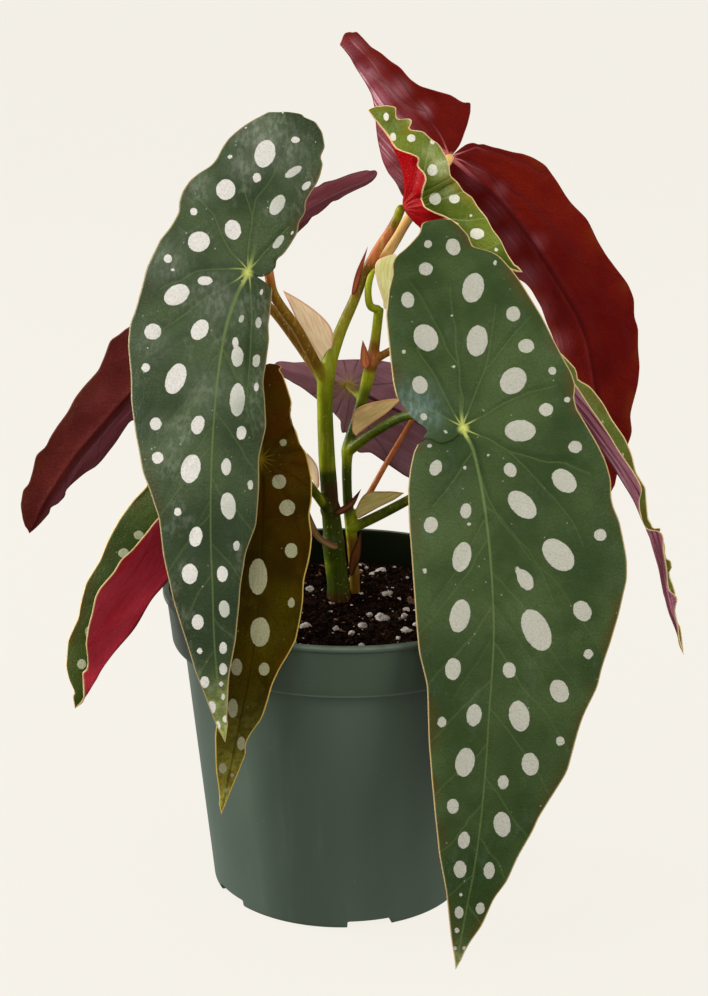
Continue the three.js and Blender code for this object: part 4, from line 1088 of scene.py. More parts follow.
            [16, 7, 223, 7, 140, 15, -15],
            [17, 8, 217, 9, 140, 17, -15],
            [17, 9, 211, 9, 140, 17, -15],
            [23, 8, 205, 10, 140, 18, -18],
            [31, 6, 200, 10, 140, 16, -20],
            [39, 4, 197, 7, 140, 11, -20],
            [47, 2, 195, 3, 140, 4, -20],
            [52, 1, 194, 0, 0, 0, 0],
        ],
        # darker patches: painted shade; pale patches: a painted highlight
        "deep": [(392, 122, 12, 0.7), (424, 190, 9, 0.7), (440, 212, 12, 0.7), (458, 224, 14, 0.6),
                 (505, 262, 16, 0.5)],
        "pale": [(441, 166, 10, 0.9), (430, 152, 8, 0.5), (412, 122, 5, 0.4), (448, 192, 8, 0.3)],
        "spots": [
            (432, 170, 10, 12), (435, 199, 12), (454, 199, 11, 9), (477, 234, 14, 11), (411, 138, 8),
            (393, 137, 6, 8), (432, 142, 5), (386, 117, 5, 8), (471, 216, 3), (496, 250, 4),
        ],
        "margins": {
            1: [[(385, 105), (396, 107), (396, 118), (400, 128), (410, 130), (423, 131), (432, 140), (438, 143),
                 (445, 155), (449, 163), (450, 175), (457, 182), (463, 191), (472, 197), (478, 207), (487, 218),
                 (493, 230), (501, 241), (508, 255), (516, 267), (525, 272), (522, 282)]],
            -1: [[(378, 118), (383, 128), (388, 140), (401, 142), (408, 148), (415, 152), (420, 159), (417, 166),
                  (425, 173), (427, 180), (424, 187), (422, 199), (425, 207), (434, 212), (444, 216), (460, 225)]],
        },
    },
    "leaf_far_left": {
        "skins": ("green", "redBrown"), "slot": "leaf_maroon", "under": 1, "joint": 5, "slit": -1,
        "stations": [
            [9, 44, 216, 0, -20, 0, -30],
            [6, 43, 214, 2, -20, 2, -30],
            [-2, 40, 211, 3, -20, 3, -30],
            [-14, 36, 205, 6, -20, 5, -30],
            [-27, 32, 197, 9, -20, 10, -32],
            [-38, 28, 189, 10, -20, 17, -34],
            [-46, 27, 179, 11, -20, 20, -35],
            [-56, 26, 163, 13, -20, 15, -35],
            [-66, 24, 150, 12, -20, 10, -35],
            [-76, 22, 139, 11, -20, 10, -35],
            [-85, 20, 128, 9, -18, 8, -30],
            [-92, 18, 117, 7, -15, 4, -25],
            [-96, 17, 109, 4, -10, 1, -15],
            [-98, 17, 106, 0, 0, 0, 0],
        ],
        "scatter": {"seed": 21, "count": 70, "sizes": (2, 3, 4.5, 6), "apart": 4},
        "margins": {
            -1: [[(378, 172), (365, 170), (350, 174), (335, 180), (320, 183)],
                 [(128, 326), (120, 334), (110, 340), (104, 358), (99, 370), (85, 385), (75, 398), (68, 412),
                  (58, 425), (50, 438), (46, 447), (36, 455), (33, 470), (29, 484), (23, 490), (21, 505),
                  (23, 520), (27, 532)]],
            1: [[(378, 173), (368, 181), (355, 186), (340, 193), (325, 208), (315, 216), (306, 214)],
                [(132, 418), (125, 428), (115, 443), (102, 460), (95, 467), (85, 473), (70, 485), (56, 497),
                 (50, 508), (38, 520), (31, 534)]],
        },
    },
    "leaf_low_left_red": {
        "skins": ("shadedGreen", "crimson"), "slot": "leaf_young_red", "under": -1, "joint": 2, "slit": 0,
        "curl": -14, "curlWidth": 20,
        "stations": [
            [-25, -10, 158, 0, -12, 0, 140],
            [-28, -10, 154, 7, -12, 3, 140],
            [-32, -12, 148, 11, -12, 6, 140],
            [-38, -13, 133, 17, -12, 10, 140],
            [-45, -14, 118, 20, -12, 16, 140],
            [-52, -15, 104, 21, -12, 21, 140],
            [-58, -16, 96, 19, -12, 21, 140],
            [-64, -16, 86, 18, -12, 17, 140],
            [-71, -16, 77, 14, -12, 10, 140],
            [-76, -16, 68, 8, -12, 3, 140],
            [-81, -16, 61, 0, 0, 0, 0],
        ],
        "spots": [(139, 535, 10, 9), (124, 553, 11, 9), (90, 632, 9, 12), (82, 664, 9, 10), (137, 563, 3)],
        "margins": {
            -1: [[(148, 485), (135, 498), (120, 518), (108, 540), (100, 560), (86, 582), (80, 605), (78, 618),
                  (68, 640), (66, 665), (69, 680), (75, 692), (78, 702)]],
            1: [[(158, 518), (150, 528), (139, 542), (130, 552), (122, 558), (113, 572), (100, 588), (95, 598),
                 (92, 612), (88, 630), (86, 645), (88, 665), (89, 680), (84, 697)]],
        },
    },
    "leaf_far_right": {
        "skins": ("foldedGreen", "pink"), "slot": "leaf_young_red", "under": -1, "joint": 2, "slit": 0, "curl": -10,
        "curlWidth": 12, "step": 0.7,
        "stations": [
            [32, 5, 185, 0, 140, 0, -15],
            [35, 5, 183, 3, 140, 5, -15],
            [39, 4, 179, 5, 140, 8, -15],
            [49, 4, 170, 7, 140, 9, -15],
            [60, 3, 161, 8, 140, 9, -15],
            [70, 2, 150, 7, 140, 9, -15],
            [80, 1, 137, 6, 140, 8, -15],
            [86, 0, 128, 5, 140, 5, -15],
            [88.2, 0, 123.8, 1.8, 140, 3, -15],
            [90.1, -0.2, 119.4, 0.3, 140, 2.2, -15],
            [92, -0.5, 115.6, 0.4, 140, 2.4, -15],
            [93.3, -0.7, 113.4, 4.5, 140, 4, -15],
            [94.9, -1.2, 108.4, 3.4, 140, 4, -15],
            [96.6, -1.6, 102.9, 2.6, 140, 4, -15],
            [98, -2, 96.8, 2, 140, 3.6, -15],
            [98.9, -2.2, 94, 4.2, 140, 3, -15],
            [100.2, -2.6, 89.4, 2, 140, 2, -15],
            [102.4, -3, 84, 1, 140, 1.5, -15],
            [105, -4, 76, 0, 0, 0, 0],
        ],
        "scatter": {"seed": 31, "count": 24, "sizes": (0.8, 1.3, 2.2), "apart": 3},
        "margins": {
            1: [[(573, 378), (590, 386), (603, 403), (612, 420), (625, 438), (632, 455), (636, 472), (645, 487),
                 (646, 498), (647, 508), (648, 518), (653, 528), (661, 536), (665, 545), (665, 556), (666, 566),
                 (669, 575), (672, 583), (675, 592), (676, 600), (675, 609), (677, 619), (680, 629), (683, 636),
                 (686, 643), (686, 652)]],
        },
    },
    "leaf_back_centre": {
        "skins": ("green", "mauve"), "slot": "leaf_maroon", "under": 1, "joint": 3, "slit": -1,
        "slitOpen": 0, "lobeRound": 0,
        "stations": [
            [-22, 30, 158, 0, -10, 0, -30],
            [-17, 29, 156, 4, -10, 3, -30],
            [-9, 28, 154, 7, -10, 6, -30],
            [1, 27, 152, 11, -10, 9, -30],
            [8, 28, 148, 16, -10, 13, -30],
            [19, 30, 142, 17, -10, 16, -30],
            [30, 33, 134, 18, -10, 16, -30],
            [43, 36, 124, 17, -10, 14, -30],
            [56, 38, 112, 11, -10, 9, -30],
            [66, 38, 102, 0, 0, 0, 0],
        ],
        "scatter": {"seed": 41, "count": 60, "sizes": (2, 3, 4.5, 6), "apart": 4},
        "margins": {
            -1: [[(274, 363), (283, 377), (298, 385), (313, 396), (325, 406), (333, 412), (341, 421)],
                 [(346, 430), (352, 443), (358, 453), (364, 453), (370, 452), (378, 457), (391, 466), (408, 478)]],
        },
    },
    "leaf_low_right": {
        "skins": ("green", "maroon"), "slot": "leaf_green_spotted", "under": -1, "joint": 2, "slit": 1,
        "stations": [
            [29, 4, 137, 0, -10, 0, -20],
            [33, 4, 134, 4, -10, 4, -20],
            [38, 2, 130, 8, -10, 9, -20],
            [49, 0, 122, 9, -10, 11, -20],
            [60, -2, 110, 8, -10, 10, -20],
            [69, -4, 96, 5, -10, 7, -20],
            [76, -5, 81, 0, 0, 0, 0],
        ],
        "scatter": {"seed": 51, "count": 30, "sizes": (1.5, 2.5, 3.5), "apart": 3},
    },
    "leaf_inner_right": {
        "skins": ("green", "maroon"), "slot": "leaf_green_spotted", "under": -1, "joint": 2, "slit": 1,
        "stations": [
            [25, 18, 169, 0, -10, 0, -10],
            [27, 18, 165, 4, -10, 6, -10],
            [29, 17, 159, 6, -10, 8, -10],
            [33, 15, 148, 9, -10, 10, -10],
            [38, 12, 135, 10, -10, 9, -10],
            [43, 10, 120, 7, -10, 6, -10],
            [46, 8, 107, 0, 0, 0, 0],
        ],
        "scatter": {"seed": 61, "count": 30, "sizes": (1.5, 2.5, 3.5), "apart": 3},
    },
}

sharedSkins = {}


def leafSkins(plan):
    # the upper side's and the underside's finish; leaves without veins of their own share them
    def forVeins(veins):
        found = []
        for finish in plan["skins"]:
            if veins and finish == plan["skins"][plan["under"] > 0]:
                found.append(leafSkin(finish + "LeafVeined", finish, veins))
                continue
            if finish not in sharedSkins:
                sharedSkins[finish] = leafSkin(finish + "Leaf", finish)
            found.append(sharedSkins[finish])
        return found
    return forVeins


for node, plan in leafPlans.items():
    standFor(makeBlade(pieceName(node), plan, leafSkins(plan)), node)
print("leaves made")


# Canes and leaf stalks: points [x, y, z, radius, tint], where tint goes from 0, green, over 1,
# olive brown, and 2, red, to 3, tan, and the other way over -1, dark green painted shade, to -2, a brown scar

caneStyle = {
    "voxel": 0.34,
    "stepsEach": 8,
    "sides": 20,
    "soften": 4,          # rounds of smoothing once the tubes are grown together
    "blend": 0.6,         # mm over which one tube's tint goes over into the next one's
    "tipRadius": 0.9,     # the end of a stalk under its leaf, and how much it swells there
    "tipSwell": 0.25,
    "tipGap": 0.75,       # how far from the leaf's middle surface the stalk ends
    "tipReach": 3.5,      # from where it runs straight at the leaf
}
leftCane = [
    [-1, 16.5, 62, 3.4, -2], [-1.4, 16.1, 88, 3.7, -2], [-1.5, 16, 90.5, 3.5, -1], [-2.2, 16, 96, 3.4, -0.8],
    [-3, 14.8, 103, 3.4, -0.9],
    [-3.2, 14.5, 105.5, 3.6, -1.7], [-3.3, 14.5, 108, 3.1, -0.8], [-3.9, 14, 114, 2.9, -1.0],
    [-4.1, 13.8, 116, 3.3, -1.7], [-4.3, 13.5, 118.5, 2.7, -2], [-4.7, 12.9, 124.5, 2.65, -1.9],
    [-5.1, 12.3, 129.5, 2.6, -0.7], [-5.3, 12, 132.4, 2.6, 0],
    [-6, 10, 149, 2.4, 0], [-5.9, 9, 156, 2.6, 0], [-5.6, 8.3, 160.5, 2.8, 0.4], [-4.2, 8.8, 166, 2.2, 0.35],
    [-1.4, 10, 173.8, 1.8, 0.5], [2.7, 11, 183.4, 1.6, 0.75], [5.9, 12, 192.4, 1.5, 0.9],
]
rightCane = [
    [4.1, 22, 62, 1.6, 0.5], [3.8, 21.6, 87, 1.6, 1.1], [3.1, 20, 98, 1.6, 1.1], [2.4, 18.6, 107, 1.8, 1.0],
    [1.7, 17.8, 113, 1.7, -0.7], [1, 17, 121, 1.5, -1.1], [0.8, 16, 131, 1.6, -0.8], [1, 16, 134.5, 2, -0.2],
    [1.6, 16, 138, 1.6, -0.9], [3.4, 16, 144, 1.6, -1], [5.8, 16, 152.7, 1.8, -0.9], [7.4, 15, 160, 2, 0.3],
    [8, 14.8, 163, 2.2, 1.9], [8.6, 14.5, 166.5, 1.7, 1.5], [9.2, 14, 171.4, 1.5, 0.5], [10, 13, 180, 1.5, 0.1],
]
leftStalks = {
    "leaf_front_left": [[-5.7, 8, 158, 1.8, 0.6], [-8.6, 5.5, 164, 1.7, 0.9], [-14, -0.5, 176, 1.6, 1.1],
                        [-21, -9.5, 189, 1.5, 1.1], [-23.4, -12.6, 198.5, 1.4, 2.2]],
    "leaf_far_left": [[-6.4, 9, 158, 1.6, 0.7], [-13.7, 13.5, 167.5, 1.4, 1.1], [-22.4, 16, 178.5, 1.4, 1.2],
                      [-31, 19, 185.5, 1.3, 1.4]],
    "leaf_top_young": [[5, 12, 190, 1.5, 0.7], [9, 12, 197.5, 1.5, 2.3], [13, 11.5, 204, 1.45, 1.8],
                       [14.9, 11.2, 207.6, 1.4, 0.5]],
    "leaf_top_right": [[5, 12, 190, 1.4, 1.2], [12, 15.3, 196, 1.6, 2.9], [17.9, 20, 204.9, 1.5, 2.8]],
    "leaf_low_left_olive": [[-3.9, 14, 114, 1.4, -0.8], [-11, 4, 127, 1.4, -0.5], [-18.5, -10, 137, 1.3, -0.4]],
    "leaf_low_left_red": [[-4, 13.5, 115, 1.3, 0.6], [-9.4, 9, 124, 1.2, 0.9], [-17, 3, 136, 1.1, 1]],
}
rightStalks = {
    "leaf_front_right": [[1, 16, 134, 1.7, -0.3], [8, 9.5, 141.5, 1.6, -0.8], [18, -3, 150.8, 1.5, -0.9],
                         [27, -15, 155, 1.4, -0.2]],
    "leaf_far_right": [[8, 14.8, 163, 1.3, 1], [14, 13, 167, 1.2, 1.4], [25, 9.5, 173.5, 1.1, 1.6]],
    "leaf_back_centre": [[5.2, 16, 151, 1.2, 0.8]],
    "leaf_low_right": [[1.5, 18, 108, 1.7, -0.4], [11.2, 15, 114, 1.6, -0.8], [20, 12, 120, 1.5, -0.8],
                       [29, 9, 126.5, 1.2, -0.5]],
    "leaf_inner_right": [[1.6, 18, 110, 1.1, 1.4], [6.3, 18.5, 117, 1, 1.8], [13.2, 21.5, 129, 0.9, 1.9],
                         [20.2, 23.5, 141, 0.9, 1.9]],
}
tipRadii = {"leaf_back_centre": 1, "leaf_low_right": 0.7, "leaf_inner_right": 0.8, "leaf_top_young": 1.2,
            "leaf_top_right": 1.15}
endBud = [[10, 13, 179.5, 1.3, 0.3], [7.5, 11.5, 180.8, 1.2, 0.3], [6.7, 10.6, 184, 1.1, 0.2],
          [6.7, 10.2, 187.4, 1.1, 0.1],
          [7.4, 10.2, 190.4, 1, 0.1], [8.6, 10.2, 192.6, 0.5, 0.3]]
tipReaches = {"leaf_top_young": 1.4}
pointsAtOnce = 4000


def curvePoints(points, stepsEach):
    # a smooth line through points, with the rest of each point's numbers carried along
    points = np.array(points, float)
    before = 2 * points[:1] - points[1:2]
    after = 2 * points[-1:] - points[-2:-1]
    chain = np.concatenate([before, points, after])
    made = []
    for i in range(1, len(chain) - 2):
        p0, p1, p2, p3 = chain[i - 1:i + 3]
        d0, d1, d2 = (np.linalg.norm((q - p)[:3]) ** 0.5 for p, q in ((p0, p1), (p1, p2), (p2, p3)))
        t1 = ((p1 - p0) / d0 - (p2 - p0) / (d0 + d1) + (p2 - p1) / d1) * d1
        t2 = ((p2 - p1) / d1 - (p3 - p1) / (d1 + d2) + (p3 - p2) / d2) * d1
        for k in range(stepsEach):
            t = k / stepsEach
            spot = p1 + t1 * t + (3 * (p2 - p1) - 2 * t1 - t2) * t ** 2 + (2 * (p1 - p2) + t1 + t2) * t ** 3
            spot[3:] = p1[3:] + (p2[3:] - p1[3:]) * t
            made.append(spot)
    made.append(points[-1].copy())
    return np.array(made)


def tubeMesh(line, sides):
    # a closed round tube along a line of [x, y, z, radius, ...]
    centres, radii = line[:, :3], line[:, 3]
    tangents = unit(np.gradient(centres, axis=0))
    across = np.cross((0, 1, 0), tangents[0])
    points, faces = [], []
    for centre, radius, tangent in zip(centres, radii, tangents):
        across = unit(across - tangent * (across @ tangent))
        other = np.cross(tangent, across)
        for j in range(sides):
            turn = 2 * math.pi * j / sides
            points.append(centre + radius * (across * math.cos(turn) + other * math.sin(turn)))
    last = len(centres) - 1
    for i in range(last):
        for j in range(sides):
            a, b = i * sides + j, i * sides + (j + 1) % sides
            faces.append((a, b, b + sides, a + sides))
    faces.append(tuple(range(sides))[::-1])
    faces.append(tuple(range(last * sides, (last + 1) * sides)))
    return points, faces


def skinTint(skin, lines):
    # the tint of the nearest tube, blended where two are near
    centres = np.concatenate([line[:, :3] for line in lines])
    radii, tints = (np.concatenate([line[:, column] for line in lines]) for column in (3, 4))
    tint = np.zeros(len(skin))
    for i in range(0, len(skin), pointsAtOnce):
        part = skin[i:i + pointsAtOnce]
        far = np.linalg.norm(part[:, None] - centres[None], axis=2) - radii[None]
        weight = np.exp(-(far - far.min(1, keepdims=True)) / caneStyle["blend"])
        weight /= weight.sum(1, keepdims=True)
        tint[i:i + pointsAtOnce] = weight @ tints
    return tint


def makeCane(name, tubes, material):
    lines = [curvePoints(tube, caneStyle["stepsEach"]) for tube in tubes]
    points, faces = [], []
    for line in lines:
        start = len(points)
        tubePoints, tubeFaces = tubeMesh(line, caneStyle["sides"])
        points += tubePoints
        faces += [tuple(k + start for k in face) for face in tubeFaces]
    piece = makePiece(name, points, faces, [material])
    grow = piece.modifiers.new("grow", "REMESH")  # the tubes grown together as one skin
    grow.mode = "VOXEL"
    grow.voxel_size = caneStyle["voxel"] * mm
    grow.use_smooth_shade = True
    soften = piece.modifiers.new("soften", "SMOOTH")
    soften.factor = 0.5
    soften.iterations = caneStyle["soften"]
    grown = applyModifiers(piece)
    setAttributes(grown, {"tint": skinTint(np.array([v.co for v in grown.vertices]) / mm, lines)})
    return piece


caneFinish = {
    "green": rgb(164, 172, 28), "deepGreen": rgb(110, 124, 6), "olive": rgb(120, 84, 18), "red": rgb(178, 98, 52),
    "tan": rgb(222, 180, 108), "pale": rgb(206, 198, 96), "scar": rgb(70, 40, 18), "shade": rgb(54, 68, 6),
}


def caneSkin(plan):
    material, wire = newShader("caneSkin")
    tint = wire.attribute("tint") + (wire.grain(4, 3) - 0.5) * 0.7
    streak = wire.grain(0.9, 2, (1, 1, 0.06)).fade(0.5, 0.8)
    dots = wire.cells(1.5).fade(0.08, 0.2, 1, 0)
    color = wire.paint(
        wire.mix(wire.grain(6, 3, (1, 1, 0.25)).fade(0.35, 0.65), plan["deepGreen"], plan["green"]),
        (tint.fade(0.25, 1.0), plan["olive"]),
        (tint.fade(1.2, 1.9), plan["red"]),
        (tint.fade(2.1, 2.9), plan["tan"]),
        # painted shade: dark green where the cane lies in shade
        (tint.fade(-1.0, -0.1, 1, 0), plan["shade"]),
        (tint.fade(-2.0, -1.2, 1, 0), plan["scar"]),
        (streak * tint.fade(-0.9, 0.1, 0.05, 0.35), plan["pale"]),
        (dots * 0.5, plan["pale"]),
    )
    height = streak * 0.3 + wire.grain(1.2, 3) * 0.5 + dots * 0.4
    surface(wire, {
        "Base Color": color, "Roughness": wire.grain(3, 2) * 0.15 + 0.32,
        "Specular IOR Level": 0.14, "Normal": wire.bump(height, 0.3, 0.3), "Subsurface Weight": 0.12,
        "Subsurface Radius": (0.9, 0.7, 0.3), "Subsurface Scale": 0.001,
    })
    return material


def stalkEnd(leafName):
    # where the leaf's stalk joins, on its coarse middle surface, and which way is under it
    leaf = {**bladeStyle, "fit": {}, **leafPlans[leafName], "step": 3}
    points, faces, _, atJoint = makeSheet(leaf)
    return points[atJoint], smoothNormals(points, faces)[atJoint] * leaf["under"]


def withEnd(points, leafName):
    middle, out = stalkEnd(leafName)
    radius = tipRadii.get(leafName, caneStyle["tipRadius"]) + caneStyle["tipSwell"]
    tint = points[-1][4]
    reaches = (tipReaches.get(leafName, caneStyle["tipReach"]), caneStyle["tipGap"])
    return points + [[*(middle + out * reach), radius, tint] for reach in reaches]


caneMaterial = caneSkin(caneFinish)
for node, cane, stalks, extra in (
    ("cane_left", leftCane, leftStalks, []),
    ("cane_right", rightCane, rightStalks, [endBud]),
):
    tubes = [cane] + [withEnd(points, leafName) for leafName, points in stalks.items()] + extra
    standFor(makeCane(pieceName(node), tubes, caneMaterial), node)
print("canes made")


# Papery sheaths at the joints

sheathFinish = {
    "pink": {"paper": rgb(224, 202, 160), "streak": rgb(208, 174, 136), "edge": rgb(190, 134, 108), "glow": 0.36},
    "tan": {"paper": rgb(200, 174, 118), "streak": rgb(180, 146, 90), "edge": rgb(164, 108, 66), "glow": 0.25},
    "greenTan": {"paper": rgb(186, 174, 106), "streak": rgb(164, 142, 76), "edge": rgb(146, 98, 56), "glow": 0.2},
    "dry": {"paper": rgb(160, 130, 82), "streak": rgb(122, 90, 52), "edge": rgb(104, 62, 38), "glow": 0.06},
    "brown": {"paper": rgb(122, 74, 36), "streak": rgb(80, 40, 16), "edge": rgb(60, 24, 14), "glow": 0.0},
    "rust": {"paper": rgb(196, 118, 74), "streak": rgb(160, 82, 48), "edge": rgb(128, 66, 42), "glow": 0.1},
    "red": {"paper": rgb(164, 92, 44), "streak": rgb(128, 50, 28), "edge": rgb(100, 30, 22), "glow": 0.05},
    "green": {"paper": rgb(210, 206, 146), "streak": rgb(184, 178, 100), "edge": rgb(220, 184, 150), "glow": 0.4},
}


def sheathSkin(name, plan):
    material, wire = newShader(name)
    across, margin = wire.attribute("across"), wire.attribute("margin")
    fibre = wire.noiseAt(wire.pair(across * 1.6, wire.attribute("along") * 0.12))
    color = wire.paint(
        wire.mix(fibre.fade(0.4, 0.7), plan["paper"], plan["streak"]),
        (wire.grain(5, 3).fade(0.4, 0.7) * 0.5, plan["streak"]),
        (margin.fade(0.1, 0.8, 0.8, 0), plan["edge"]),
    )
    surface(wire, {
        "Base Color": color, "Roughness": fibre * 0.2 + 0.45, "Normal": wire.bump(fibre, 0.5, 0.3),
        "Specular IOR Level": 0.1,
        "Emission Color": color, "Emission Strength": plan["glow"],  # painted glow, as if the thin paper were lit from behind
    })
    return material


sheathSkins = {name: sheathSkin(name + "Sheath", plan) for name, plan in sheathFinish.items()}
sheathStyle = {
    "step": 0.4, "thickness": 0.35, "curl": 0, "wave": 0.25, "quilting": 0, "marginNoise": 0.25, "under": 1,
}
sheathPlans = {           # finish, slot, and stations as a leaf has them
    "sheath_fork_pink": ("pink", "sheath_pale", [
        [-8.2, 9.4, 163.8, 0, 0, 0, 0],
        [-9, 9, 166.2, 5, 10, 1, 0],
        [-11.5, 7.5, 172.6, 8, 15, 1, 0],
        [-14.2, 6, 179.2, 5, 10, 1, 0],
        [-18.6, 4, 187, 0, 0, 0, 0],
    ]),
    "sheath_right_tan": ("tan", "sheath_pale", [
        [3.5, 13.3, 140, 0, 0, 0, 0],
        [4.4, 12.6, 141.8, 0.8, 0, 2.5, 0],
        [7.8, 8.7, 145.8, 0.8, 0, 6, 10],
        [12.2, 3.3, 150.6, 0.8, 0, 5, 10],
        [17, -3.2, 156.2, 0, 0, 0, 0],
    ]),
    "sheath_low_right": ("greenTan", "sheath_pale", [
        [4.4, 16.4, 112.3, 0, 0, 0, 0],
        [6, 16, 114, 0.7, 0, 3, 0],
        [10.5, 14.6, 117.2, 0.7, 0, 5.5, 10],
        [15, 12.8, 120.2, 0.7, 0, 3, 10],
        [18.5, 11.2, 122.4, 0, 0, 0, 0],
    ]),
    "sheath_left_beige": ("pink", "sheath_pale", [
        [-8.2, 11.5, 123.5, 0, 0, 0, 0],
        [-8.5, 11, 125.5, 1, 30, 1, -30],
        [-9.8, 10, 130.5, 2, 30, 2, -30],
        [-11.4, 9, 135.5, 0, 0, 0, 0],
    ]),
    "sheath_base_dry": ("dry", "sheath_brown", [
        [-1.5, 10.1, 105, 0, 0, 0, 0],
        [-3, 10, 105.2, 1, 0, 1, 0],
        [-7.4, 9.4, 108, 1, 0, 1, 0],
        [-9.8, 9, 112.5, 1, 0, 1, 0],
        [-10.6, 9, 117, 0, 0, 0, 0],
    ]),
    "sheath_thorn_dark": ("brown", "sheath_brown", [
        [-2.6, 10.1, 116, 0, 0, 0, 0],
        [-1.2, 10.3, 116.4, 1, 0, 1, 0],
        [2.2, 11, 118.6, 1, 0, 1, 0],
        [5.3, 11, 123.6, 0, 0, 0, 0],
    ]),
    "sheath_base_right": ("brown", "sheath_brown", [
        [2.4, 16, 93.5, 0, 0, 0, 0],
        [2.7, 15.6, 95.5, 1, 0, 1, 0],
        [3.4, 14.8, 101, 2, 0, 1, 0],
        [5.6, 14, 109, 0, 0, 0, 0],
    ]),
    "sheath_upper_red": ("red", "sheath_brown", [
        [2, 8.2, 185, 0, 0, 0, 0],
        [2.6, 8.2, 186.8, 0.8, 0, 0.8, 0],
        [4.2, 8.8, 192, 0.5, 0, 1.1, 0],
        [6.4, 9.4, 199.5, 0, 0, 0, 0],
    ]),
    "sheath_top_green": ("green", "sheath_green", [
        [11.9, 11.6, 180, 0, 0, 0, 0],
        [12.4, 10.9, 182, 1, 0, 1.2, 0],
        [13.8, 9.6, 187, 2, 0, 4.2, 0],
        [13.6, 9, 192, 2, 0, 5, 0],
        [14, 8.8, 194.8, 1.6, 0, 4.6, 0],
        [14.5, 8.6, 197.6, 0, 0, 0, 0],
    ]),
    "sheath_right_red": ("rust", "sheath_brown", [
        [6.2, 12.4, 161.5, 0, 0, 0, 0],
        [5.9, 12.2, 163, 1.7, 0, 1.2, 0],
        [5.6, 11.8, 166.5, 1.2, 0, 1, 0],
        [5.2, 11.4, 170.5, 0, 0, 0, 0],
    ]),
}
for node, (finish, slot, stations) in sheathPlans.items():
    both = [sheathSkins[finish]] * 2
    blade = makeBlade(pieceName(node), {**sheathStyle, "stations": stations}, lambda veins: both)
    standFor(blade, node)
print("sheaths made")


# Pot

potPlan = {
    "height": 96.6, "lipRadius": 55, "bandFoot": 80.1, "bandRadius": 52.2, "bodyRadius": 48.7, "footRadius": 39.75,
    "wall": 1.4, "floorThickness": 2, "lipHeight": 1.6, "lipStand": 1.1, "sides": 240,
    "notches": 5, "notchWidth": 14, "notchHeight": 2.4, "notchReach": 7, "notchTurn": -76, "notchBevel": 0.06,
    "sharpTurn": 38,      # degrees; edges that are bent by more stay sharp
}


def potInsides(p):
    # radii inside the body, the band and the lip
    return p["bodyRadius"] - p["wall"], p["bandRadius"] - p["wall"], p["lipRadius"] - p["lipStand"] - p["wall"]


def potProfile(p):
    bodyInside, bandInside, lipInside = potInsides(p)
    foot, band, lip, bandTop = p["footRadius"], p["bandFoot"], p["lipRadius"], p["height"] - p["lipHeight"]
    return [
        (0, 0), (foot * 0.5, 0), (foot - 1.2, 0), (foot - 0.6, 0.12), (foot - 0.25, 0.5), (foot - 0.05, 1.0),
        (foot + 0.02, 1.4),
        *[(foot + (p["bodyRadius"] - foot) * k / 12, 1.4 + (band - 2.2) * k / 12) for k in range(1, 12)],
        (p["bodyRadius"], band - 0.8), (p["bodyRadius"] + 0.15, band - 0.3), (p["bodyRadius"] + 0.6, band),
        (p["bandRadius"] - 0.6, band), (p["bandRadius"] - 0.2, band + 0.15), (p["bandRadius"], band + 0.6),
        *[(p["bandRadius"] + (lip - p["lipStand"] - p["bandRadius"]) * k / 5,
           band + 0.6 + (bandTop - 1.0 - band) * k / 5) for k in range(1, 5)],
        (lip - p["lipStand"], bandTop - 0.4), (lip - 0.75, bandTop - 0.1), (lip - 0.3, bandTop),
        (lip - 0.05, bandTop + 0.2), (lip, bandTop + 0.5), (lip, p["height"] - 0.5),
        (lip - 0.15, p["height"] - 0.15), (lip - 0.5, p["height"]), (lipInside + 0.6, p["height"]),
        (lipInside + 0.15, p["height"] - 0.15), (lipInside, p["height"] - 0.6),
        (bandInside, band + p["wall"]), (bodyInside, band - 1), (foot - p["wall"] + 0.1, p["floorThickness"]),
        (0, p["floorThickness"]),
    ]


def lathe(profile, sides):
    # a profile of (radius, height) turned round the upright axis
    points, faces, rings = [], [], []
    for radius, height in profile:
        if radius == 0:
            rings.append([len(points)])
            points.append((0, 0, height))
            continue
        rings.append(list(range(len(points), len(points) + sides)))
        for j in range(sides):
            turn = 2 * math.pi * j / sides
            points.append((radius * math.cos(turn), radius * math.sin(turn), height))
    for low, high in zip(rings, rings[1:]):
        for j in range(sides):
            k = (j + 1) % sides
            if len(low) == 1:
                faces.append((low[0], high[k], high[j]))
            elif len(high) == 1:
                faces.append((low[j], low[k], high[0]))
            else:
                faces.append((low[j], low[k], high[k], high[j]))
    return points, faces


# band: painted shade on the rim band; inside: a dark finish, painted shade inside the pot
potFinish = {
    "outside": {
        "plastic": rgb(73, 88, 73), "shade": rgb(61, 74, 61), "band": rgb(50, 64, 46), "dust": rgb(116, 124, 112),
        "scuff": rgb(90, 102, 88), "roughness": 0.4, "gloss": 0.4,
    },
    "inside": {
        "plastic": rgb(18, 26, 8), "shade": rgb(10, 14, 3), "band": rgb(12, 18, 5), "dust": rgb(70, 60, 46),
        "scuff": rgb(28, 30, 14), "roughness": 0.6, "gloss": 0.03,
    },
}


